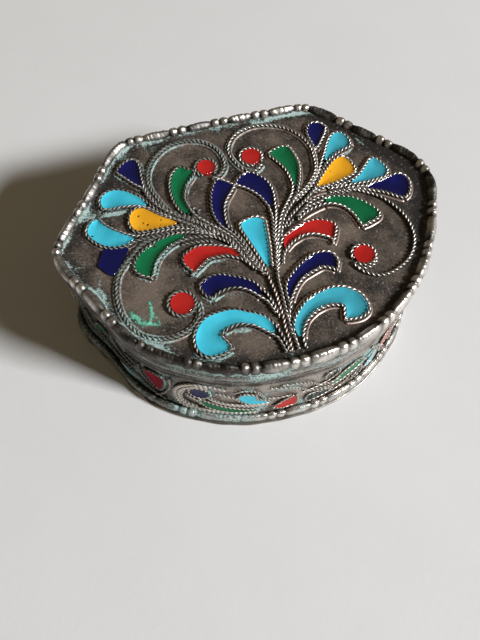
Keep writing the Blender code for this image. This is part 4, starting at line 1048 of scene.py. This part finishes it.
         (17.3, 21.2), (18.1, 20.9), (18.6, 20.3), (18.95, 19.6)),
        ((15.0, 15.0), (14.95, 14.0), (14.4, 11.7), (13.9, 10.6), (13.1, 9.4), (12.2, 8.4), (11.1, 7.5),
         (8.8, 6.0), (6.9, 4.6), (6.0, 3.7), (5.3, 2.8), (4.7, 1.8)),
        ((15.6, 15.3), (16.2, 15.75), (17.7, 17.5), (18.6, 18.7), (18.95, 19.6)),
        ((15.2, 14.9), (15.0, 14.2))),
    "right_inner_green_leaf": (
        ((9.0, 8.4), (9.15, 9.2), (9.1, 11.2), (8.95, 12.1), (8.3, 13.9), (7.55, 15.3), (7.2, 15.9),
         (7.3, 16.5), (7.9, 17.0), (9.8, 17.45), (10.5, 17.4), (10.9, 17.1)),
        ((8.3, 7.0), (5.5, 3.6), (4.4, 1.6), (4.0, 0.6), (3.5, -0.5), (3.1, -1.6), (2.75, -2.8)),
        ((9.75, 8.1), (10.65, 10.0), (11.5, 13.1), (11.2, 16.2), (10.9, 17.1)),
        ((9.4, 7.3), (8.9, 6.5), (8.2, 5.7), (6.6, 4.1), (5.9, 3.3), (5.2, 2.3), (3.7, -0.9))),
    "right_inner_blue_leaf": (
        ((3.65, 5.4), (3.4, 6.3), (2.9, 7.8), (2.0, 9.2), (1.3, 10.0), (0.6, 10.6), (0.0, 11.0),
         (-0.3, 11.4), (-0.1, 12.0), (0.6, 12.7), (1.4, 13.2), (2.1, 13.45), (2.6, 13.4)),
        ((3.6, 4.6), (3.6, 3.6), (3.2, 1.6), (2.9, 0.7), (2.65, -0.2), (2.45, -1.3), (2.2, -2.9),
         (1.75, -4.2), (0.94, -7.9), (0.75, -9.2), (0.64, -10.7), (0.48, -12.0), (0.36, -13.3),
         (0.2, -14.4), (0.11, -15.8), (-0.12, -18.3)),
        ((4.9, 5.4), (5.3, 7.3), (5.45, 8.4), (5.45, 9.2), (5.3, 10.1), (5.0, 11.0), (4.5, 11.8),
         (3.3, 13.1), (2.6, 13.4)),
        ((4.65, 4.2), (3.0, -0.6), (2.75, -1.9), (2.45, -3.2), (1.8, -5.0))),
    "left_curl_turquoise_leaf": (
        ((-1.9, -16.3), (-2.7, -14.7), (-3.2, -14.05), (-4.4, -13.2), (-5.5, -12.65), (-6.2, -12.2),
         (-7.0, -11.8), (-8.0, -11.55), (-9.0, -11.5), (-11.4, -11.75), (-12.3, -12.1), (-13.1, -12.7),
         (-13.8, -13.5), (-14.4, -14.6), (-14.6, -16.0), (-14.4, -17.2), (-13.6, -18.15), (-12.5, -18.6),
         (-10.2, -18.4), (-9.6, -18.1)),
        ((-1.67, -17.2), (-1.32, -20.1), (-1.4, -20.9)),
        ((-3.0, -17.5), (-3.35, -17.1), (-5.2, -15.3), (-6.2, -14.85), (-7.0, -14.55), (-9.0, -14.7),
         (-10.35, -15.4), (-10.3, -16.0), (-9.95, -16.6), (-9.65, -17.3), (-9.6, -18.1)),
        ((-2.5, -18.0), (-2.2, -18.8), (-1.86, -20.9))),
    "right_curl_turquoise_leaf": (
        ((0.15, -18.2), (0.35, -17.5), (0.6, -16.7), (0.95, -16.0), (1.5, -15.3), (2.9, -14.0),
         (4.2, -13.1), (5.5, -12.6), (7.0, -12.3), (8.0, -12.1), (10.2, -12.5), (10.9, -12.9),
         (11.4, -13.35), (12.0, -13.85), (12.4, -14.4), (12.7, -15.1), (12.9, -16.6), (12.75, -17.3),
         (12.3, -17.85), (11.7, -18.2), (10.9, -18.4), (9.3, -18.3), (8.6, -18.1)),
        ((0.1, -20.1), (0.06, -20.9)),
        ((1.4, -19.3), (1.75, -18.4), (2.25, -17.5), (3.0, -16.6), (4.0, -15.9), (5.2, -15.35),
         (6.8, -15.05), (7.6, -15.1), (8.3, -15.3), (8.9, -15.5), (9.15, -16.0), (8.8, -17.2),
         (8.6, -18.1)),
        ((1.26, -21.1),)),
}
# Loose lengths that were laid in to thicken the sheaf, or are only remnants.
LOOSE_WIRES = {
    "left": (((-7.2, 1.2), (-7.7, 1.6), (-8.8, 1.85), (-10.2, 2.05), (-12.2, 2.05)),
             ((-2.35, 0.3), (-2.15, -1.0), (-1.85, -2.4), (-1.4, -4.1), (-0.95, -5.9)),
             ((-5.4, 3.4), (-6.3, 4.6), (-7.3, 5.6), (-8.5, 6.6), (-9.8, 7.1), (-11.0, 7.6)),
             ((-12.7, 9.0), (-13.3, 9.7), (-13.6, 10.4)),
             ((-8.1, 7.3), (-7.6, 7.9)), ((-8.0, 8.4), (-8.7, 8.4)),
             ((-10.0, 5.6), (-11.2, 5.9), (-12.0, 5.5), (-14.0, 5.6)),
             ((-7.0, 4.4), (-8.2, 5.2), (-9.4, 5.9), (-10.6, 6.9), (-11.8, 7.7)),
             ((-6.2, 2.8), (-7.4, 3.6), (-8.6, 4.6), (-9.8, 5.6), (-11.0, 6.4))),
    "right": (((7.6, 2.2), (8.4, 2.9), (9.35, 3.55), (10.3, 4.2), (11.2, 4.7), (12.2, 5.0), (13.3, 5.1),
               (14.4, 5.05), (15.6, 4.8), (16.6, 4.5)),
              ((5.5, 0.75), (6.0, 1.3), (6.7, 1.9)),
              ((18.2, 4.95), (16.6, 5.15), (15.0, 5.35)),
              ((18.0, 6.45), (16.8, 6.4), (15.8, 6.45))),
}
# Runs of solder that flooded between the wires of the right head.
LOOSE_SEAMS = (((7.7, 0.95), (8.8, 1.65), (10.0, 2.15), (11.2, 2.5), (12.8, 2.85)),
               ((8.6, 2.55), (10.0, 3.55), (11.4, 4.2), (12.8, 4.55), (14.0, 4.65)),
               ((10.0, 4.9), (11.3, 5.45), (12.8, 5.8), (14.4, 5.85)))
wire_silver = old_silver("twisted_wire_silver", (0.73, 0.69, 0.64), (0.13, 0.118, 0.105), 0.6, 900.0, 0.00002,
                         softness=0.17)
stem_silver = old_silver("stem_wire_silver", (0.84, 0.71, 0.62), (0.17, 0.13, 0.105), 0.6, 900.0, 0.00002,
                         softness=0.19)
seam_silver = old_silver("solder_seam_silver", (0.72, 0.56, 0.49), (0.085, 0.066, 0.056), 0.9, 700.0,
                         softness=0.22)


def on_lid(points):
    """Return model points for (plan place, height above the ground) on the lid."""
    return points + (*-PLAN_CENTRE, GROUND_TOP - 0.02)


def fit_lid_wire(name, wires, finish, *nodes):
    """Fix a sheaf of twisted wire to the lid."""
    points, faces = bundle(wires)
    plan, high = points[:, :2], points[:, 2]
    x, y = plan.T
    dulled = share(x, 4.5, -6.5)
    settled = np.minimum(0.035 * ripple(x * 2.5, y * 2.5, 71), 0)
    green = lid_green(plan) + 0.5 * seam_green(plan)[0]
    fit(name, on_lid(np.column_stack([plan, high + settled])), faces,
        {"worn": wire_worn(high) * (0.78 - 0.54 * dulled) + 0.18 + 0.1 * ripple(x, y, 72),
         "verdigris": 0.12 + 0.24 * dulled + 0.9 * green - 0.3 * high},
        finish, "silver", *nodes)


sheaves = {"left": [], "right": [], "centre": []}
seams = []
for number, (name, (side_a, stalk_a, side_b, stalk_b)) in enumerate(LEAVES.items()):
    for hand, (side, stalk) in enumerate(((side_a, stalk_a), (side_b, stalk_b))):
        line = [*stalk[::-1], *side]
        if hand == 1:
            past = np.subtract(line[-1], line[-2])
            line.append(line[-1] + past / np.linalg.norm(past) * 0.25)
        sheaves[name.split("_")[0]].append(twisted_wire(
            line, lift=0.02 * hand, phase=2.4 * number * number + 2 * hand,
            hand=1 - 2 * ((number + hand) % 2)))
    side_a, side_b = (even_steps(smooth_line(side), 0.1) for side in (side_a, side_b))
    for side, other in ((side_a, side_b), (side_b, side_a)):
        halfway = side[len(side) // 2]
        nearest = other[np.argmin(np.linalg.norm(other - halfway, axis=1))]
        out = 0.44 if np.dot(sides_of(side)[len(side) // 2], halfway - nearest) > 0 else -0.44
        seams.append(solder_seam(side, out, 0.28, 0.24, smooth=0))
seams += [solder_seam(line, 0.0, 0.34, 0.3) for line in LOOSE_SEAMS]
for home, lines in LOOSE_WIRES.items():
    sheaves[home] += [twisted_wire(line, lift=-0.06, phase=1.9 * k * k, hand=1 - 2 * (k % 2))
                      for k, line in enumerate(lines)]
for home in ("centre", "left", "right"):
    fit_lid_wire(f"{home}_leaf_wires", sheaves[home], stem_silver if home == "centre" else wire_silver)
points, faces = bundle(seams)
x, y = points[:, 0], points[:, 1]
dulled = share(x, 1, -8)
fit("leaf_solder_seams", on_lid(points), faces,
    {"worn": 0.62 - 0.3 * dulled + 0.2 * ripple(x * 1.5, y * 1.5, 73),
     "verdigris": 0.1 + 0.3 * dulled + 0.6 * lid_green(points[:, :2]) + 0.1 * ripple(x, y, 74)},
    seam_silver, "silver")

# --- Lid scrolls ------------------------------------------------------------------------------
# Four long tendrils of the same wire, each rising from the stalk and rolling over into a ring
# that holds a round drop of enamel. The left ones are crusted, and solder runs along most.
RED_DOTS = {                    # middle, half width of the drop, and of the ring round it
    "left_inner_red_dot": ((-4.26, 16.4), 1.55, 1.87),
    "left_outer_red_dot": ((-14.73, -8.56), 1.85, 2.17),
    "right_inner_red_dot": ((4.0, 16.65), 1.66, 1.98),
    "right_outer_red_dot": ((15.65, -7.75), 1.66, 1.98),
}
SCROLL_LINES = {                # each tendril, then where its ring starts and how far round it goes
    "left_inner_scroll": (
        ((-9.4, 6.0), (-10.6, 7.0), (-11.8, 8.2), (-12.7, 9.3), (-13.3, 10.6), (-14.0, 12.6), (-14.5, 14.5),
         (-14.6, 15.9), (-14.3, 17.5), (-13.7, 18.9), (-12.1, 21.0), (-9.3, 22.8), (-6.2, 23.1), (-3.5, 22.2),
         (-1.6, 20.2), (-0.85, 17.7), (-1.1, 15.6), (-2.4, 14.1), (-3.9, 13.6)), (-60, 300)),
    "left_outer_scroll": (
        ((-14.4, 4.55), (-16.5, 4.35), (-18.1, 3.8), (-19.0, 3.2), (-20.0, 2.3), (-21.0, 1.4), (-22.0, 0.4),
         (-23.0, -0.8), (-23.7, -2.4), (-24.2, -5.9), (-23.6, -9.2), (-21.7, -12.3), (-18.1, -13.8),
         (-14.8, -13.3), (-12.8, -11.6), (-12.35, -10.0), (-12.4, -8.9)), (0, -360)),
    "right_inner_scroll": (
        ((8.3, 5.9), (9.6, 6.7), (10.8, 7.5), (11.9, 8.4), (12.8, 9.3), (13.6, 10.3), (14.2, 11.6),
         (14.55, 13.2), (14.8, 15.0), (14.7, 16.6), (13.7, 19.2), (11.4, 21.7), (8.2, 23.1), (5.2, 23.2),
         (2.2, 21.8), (0.5, 18.9), (0.9, 16.3), (1.7, 14.7), (3.2, 13.5), (4.4, 13.7), (5.3, 14.5)),
        (-50, 320)),
    "right_outer_scroll": (
        ((14.4, 5.55), (16.0, 5.45), (17.5, 5.3), (18.9, 5.0), (19.9, 4.5), (20.9, 3.8), (21.9, 3.1),
         (22.9, 2.1), (24.0, 0.4), (25.0, -2.0), (25.3, -4.4), (25.0, -6.6), (24.2, -8.4), (22.6, -10.3),
         (20.3, -11.6), (17.9, -12.2), (16.0, -11.8), (14.3, -10.5), (13.55, -9.2)), (190, -340)),
}
# The last ring did not close, and a short wire was laid under it.
RING_STAY = ((13.4, -8.9), (14.0, -9.9), (15.2, -10.2), (16.4, -10.0), (17.4, -9.2))
crusted_silver = old_silver("crusted_wire_silver", (0.66, 0.67, 0.63), (0.14, 0.145, 0.13), 0.8, 900.0,
                            0.00003, softness=0.38)
crusted = []
for name, (line, (first, turned)) in SCROLL_LINES.items():
    middle, _, radius = RED_DOTS[name.replace("scroll", "red_dot")]
    ring = round_line(middle, radius, first, turned, 20)
    wires = [twisted_wire(line, phase=1.0), twisted_wire(ring, phase=2.0)]
    if name == "right_outer_scroll":
        wires.append(twisted_wire(RING_STAY, phase=0.5))
    else:
        crusted += [solder_seam(line, out, 0.25, 0.4) for out in (-0.46, 0.46)]
    fit_lid_wire(name + "_wire", wires, crusted_silver if name.startswith("left") else wire_silver, name)
points, faces = bundle(crusted)
x, y = points[:, 0], points[:, 1]
fit("scroll_solder_seams", on_lid(points), faces,
    {"worn": 0.55 + 0.2 * ripple(x * 1.5, y * 1.5, 75),
     "verdigris": 0.52 + 0.3 * lid_green(points[:, :2]) + 0.14 * ripple(x, y, 76) - 0.2 * share(x, 4, 10)},
    seam_silver, "silver")

# --- Lid enamels ------------------------------------------------------------------------------
# The lid's fillings: opaque glass fired between the wires, glossy and hollowed by its own creep.
# A few show burst bubbles and a chip that has never been mended.
PITS = {                        # plan place, reach and depth
    "left_yellow_leaf": ((-17.7, 9.45, 0.19, 0.12), (-16.6, 7.45, 0.2, 0.12), (-17.2, 8.0, 0.13, 0.05),
                         (-14.3, 7.7, 0.14, 0.05), (-14.6, 6.75, 0.12, 0.05)),
    "left_outer_green_leaf": ((-16.6, 3.0, 0.28, 0.16),),
    "left_side_turquoise_leaf": ((-25.75, 7.55, 0.2, 0.1),),
    "right_yellow_leaf": ((16.3, 9.9, 0.1, 0.03), (18.5, 11.4, 0.08, 0.03)),
}
# This one lies between the outer scroll and its neighbours, with no wire of its own.
SIDE_BLUE = (((-20.55, 3.95), (-22.4, 4.15), (-24.4, 4.45), (-25.2, 3.2), (-25.95, 1.6)),
             ((-20.55, 3.4), (-21.4, 2.3), (-22.7, 0.8), (-23.7, -0.5), (-24.4, -0.5), (-25.2, 0.5),
              (-25.95, 1.6)))
lid_glass = {colour: enamel_finish(f"lid_enamel_{colour}", colour) for colour in
             ("turquoise", "deep_turquoise", "blue", "green", "red", "yellow")}


def fill_lid_cell(name, side_a, side_b, inset, **ways):
    """Fire one of the lid's fillings."""
    points, faces, pits = enamel_filling(name, side_a, side_b, inset, pits=PITS.get(name, ()), **ways)
    colour = next(c for c in lid_glass if c in name)
    glass = "deep_turquoise" if colour == "turquoise" and name.startswith("right") else colour
    fit(name.replace("_leaf", "").replace("_dot", "") + "_enamel", on_lid(points), faces, {"pit": pits},
        lid_glass[glass], f"enamel_{colour}", name)


for name, (side_a, _, side_b, _) in LEAVES.items():
    fill_lid_cell(name, smooth_line(side_a, 6), smooth_line(side_b, 6), 0.22)
fill_lid_cell("left_side_blue_leaf", *(smooth_line(side, 6) for side in SIDE_BLUE), 0.02,
              edge=0.45, hollow=0.05)
for name, (middle, radius, _) in RED_DOTS.items():
    fill_lid_cell(name, *(round_line(middle, radius, 90, turned) for turned in (180, -180)), 0.02,
                  columns=20, hollow=0.12, nose=0)

# --- Floor, light and camera ------------------------------------------------------------------
# A plain pale tabletop, one soft light from the right, a dim warm room, and the viewing angle.
# None of these belong to the box.
TABLE_HALF, TABLE_STEPS = 1200.0, 24
LIGHT_HIGH, LIGHT_TURN = math.radians(35.5), (0.784, -0.621)
LIGHT_FAR, LIGHT_SIZE = 2.0, 0.345
TURNED, RAISED, ROLLED = (math.radians(a) for a in (-18.26, 62.59, 2.10))    # how the viewer stands and tilts
EYE_AIM_HIGH = 23.2
EYE_ACROSS, EYE_DOWN, EYE_FAR = -2.804, -13.624, 105.65

table_line = np.linspace(-TABLE_HALF, TABLE_HALF, TABLE_STEPS + 1)
table = new_piece("table", [(x, y, -0.02) for x in table_line for y in table_line],
                    hoop_faces(TABLE_STEPS + 1, TABLE_STEPS + 1, ring_closed=False, side_closed=False), {})
table.data.flip_normals()
table.data.materials.append(new_finish("pale_table", 0.00002, lambda tree: {
    "Base Color": blend(tree, ease(tree, grain(tree, 60.0, 3.0), 0.3, 0.7), (0.735, 0.725, 0.715, 1),
                        (0.75, 0.74, 0.73, 1)),
    "Roughness": 0.75, "Height": grain(tree, 900.0, 3.0)}))

lamp = bpy.data.lights.new("soft_window", "AREA")
lamp.shape, lamp.size, lamp.energy = "SQUARE", LIGHT_SIZE, 57.5
lamp.color = (0.95, 0.972, 1.0)
lamp_holder = bpy.data.objects.new("soft_window", lamp)
light_way = Vector((*(k * math.cos(LIGHT_HIGH) for k in LIGHT_TURN), math.sin(LIGHT_HIGH)))
lamp_holder.location = light_way * LIGHT_FAR
lamp_holder.rotation_euler = light_way.to_track_quat("Z", "Y").to_euler()
bpy.context.scene.collection.objects.link(lamp_holder)

room = bpy.data.worlds.new("dim_room")
room.use_nodes = True
feed(room.node_tree, room.node_tree.nodes["Background"],
     {"Color": (0.108, 0.0864, 0.055, 1), "Strength": 1.0})
bpy.context.scene.world = room
bpy.context.scene.view_settings.view_transform = "Standard"

back = Vector((math.sin(TURNED) * math.cos(RAISED), -math.cos(TURNED) * math.cos(RAISED), math.sin(RAISED)))
right = Vector((math.cos(TURNED), math.sin(TURNED), 0.0))
up = right.cross(-back)
right, up = (math.cos(ROLLED) * right + math.sin(ROLLED) * up,
             -math.sin(ROLLED) * right + math.cos(ROLLED) * up)
eye = bpy.data.cameras.new("eye")
eye.lens, eye.sensor_width, eye.clip_start = 36.56, 36.0, 0.001
eye_holder = bpy.data.objects.new("eye", eye)
stand = Matrix((right, up, back)).transposed().to_4x4()
aim = Vector((*-PLAN_CENTRE, EYE_AIM_HIGH))
stand.translation = (aim + EYE_ACROSS * right + EYE_DOWN * up + EYE_FAR * back) * MM
eye_holder.matrix_world = stand
bpy.context.scene.collection.objects.link(eye_holder)
bpy.context.scene.camera = eye_holder
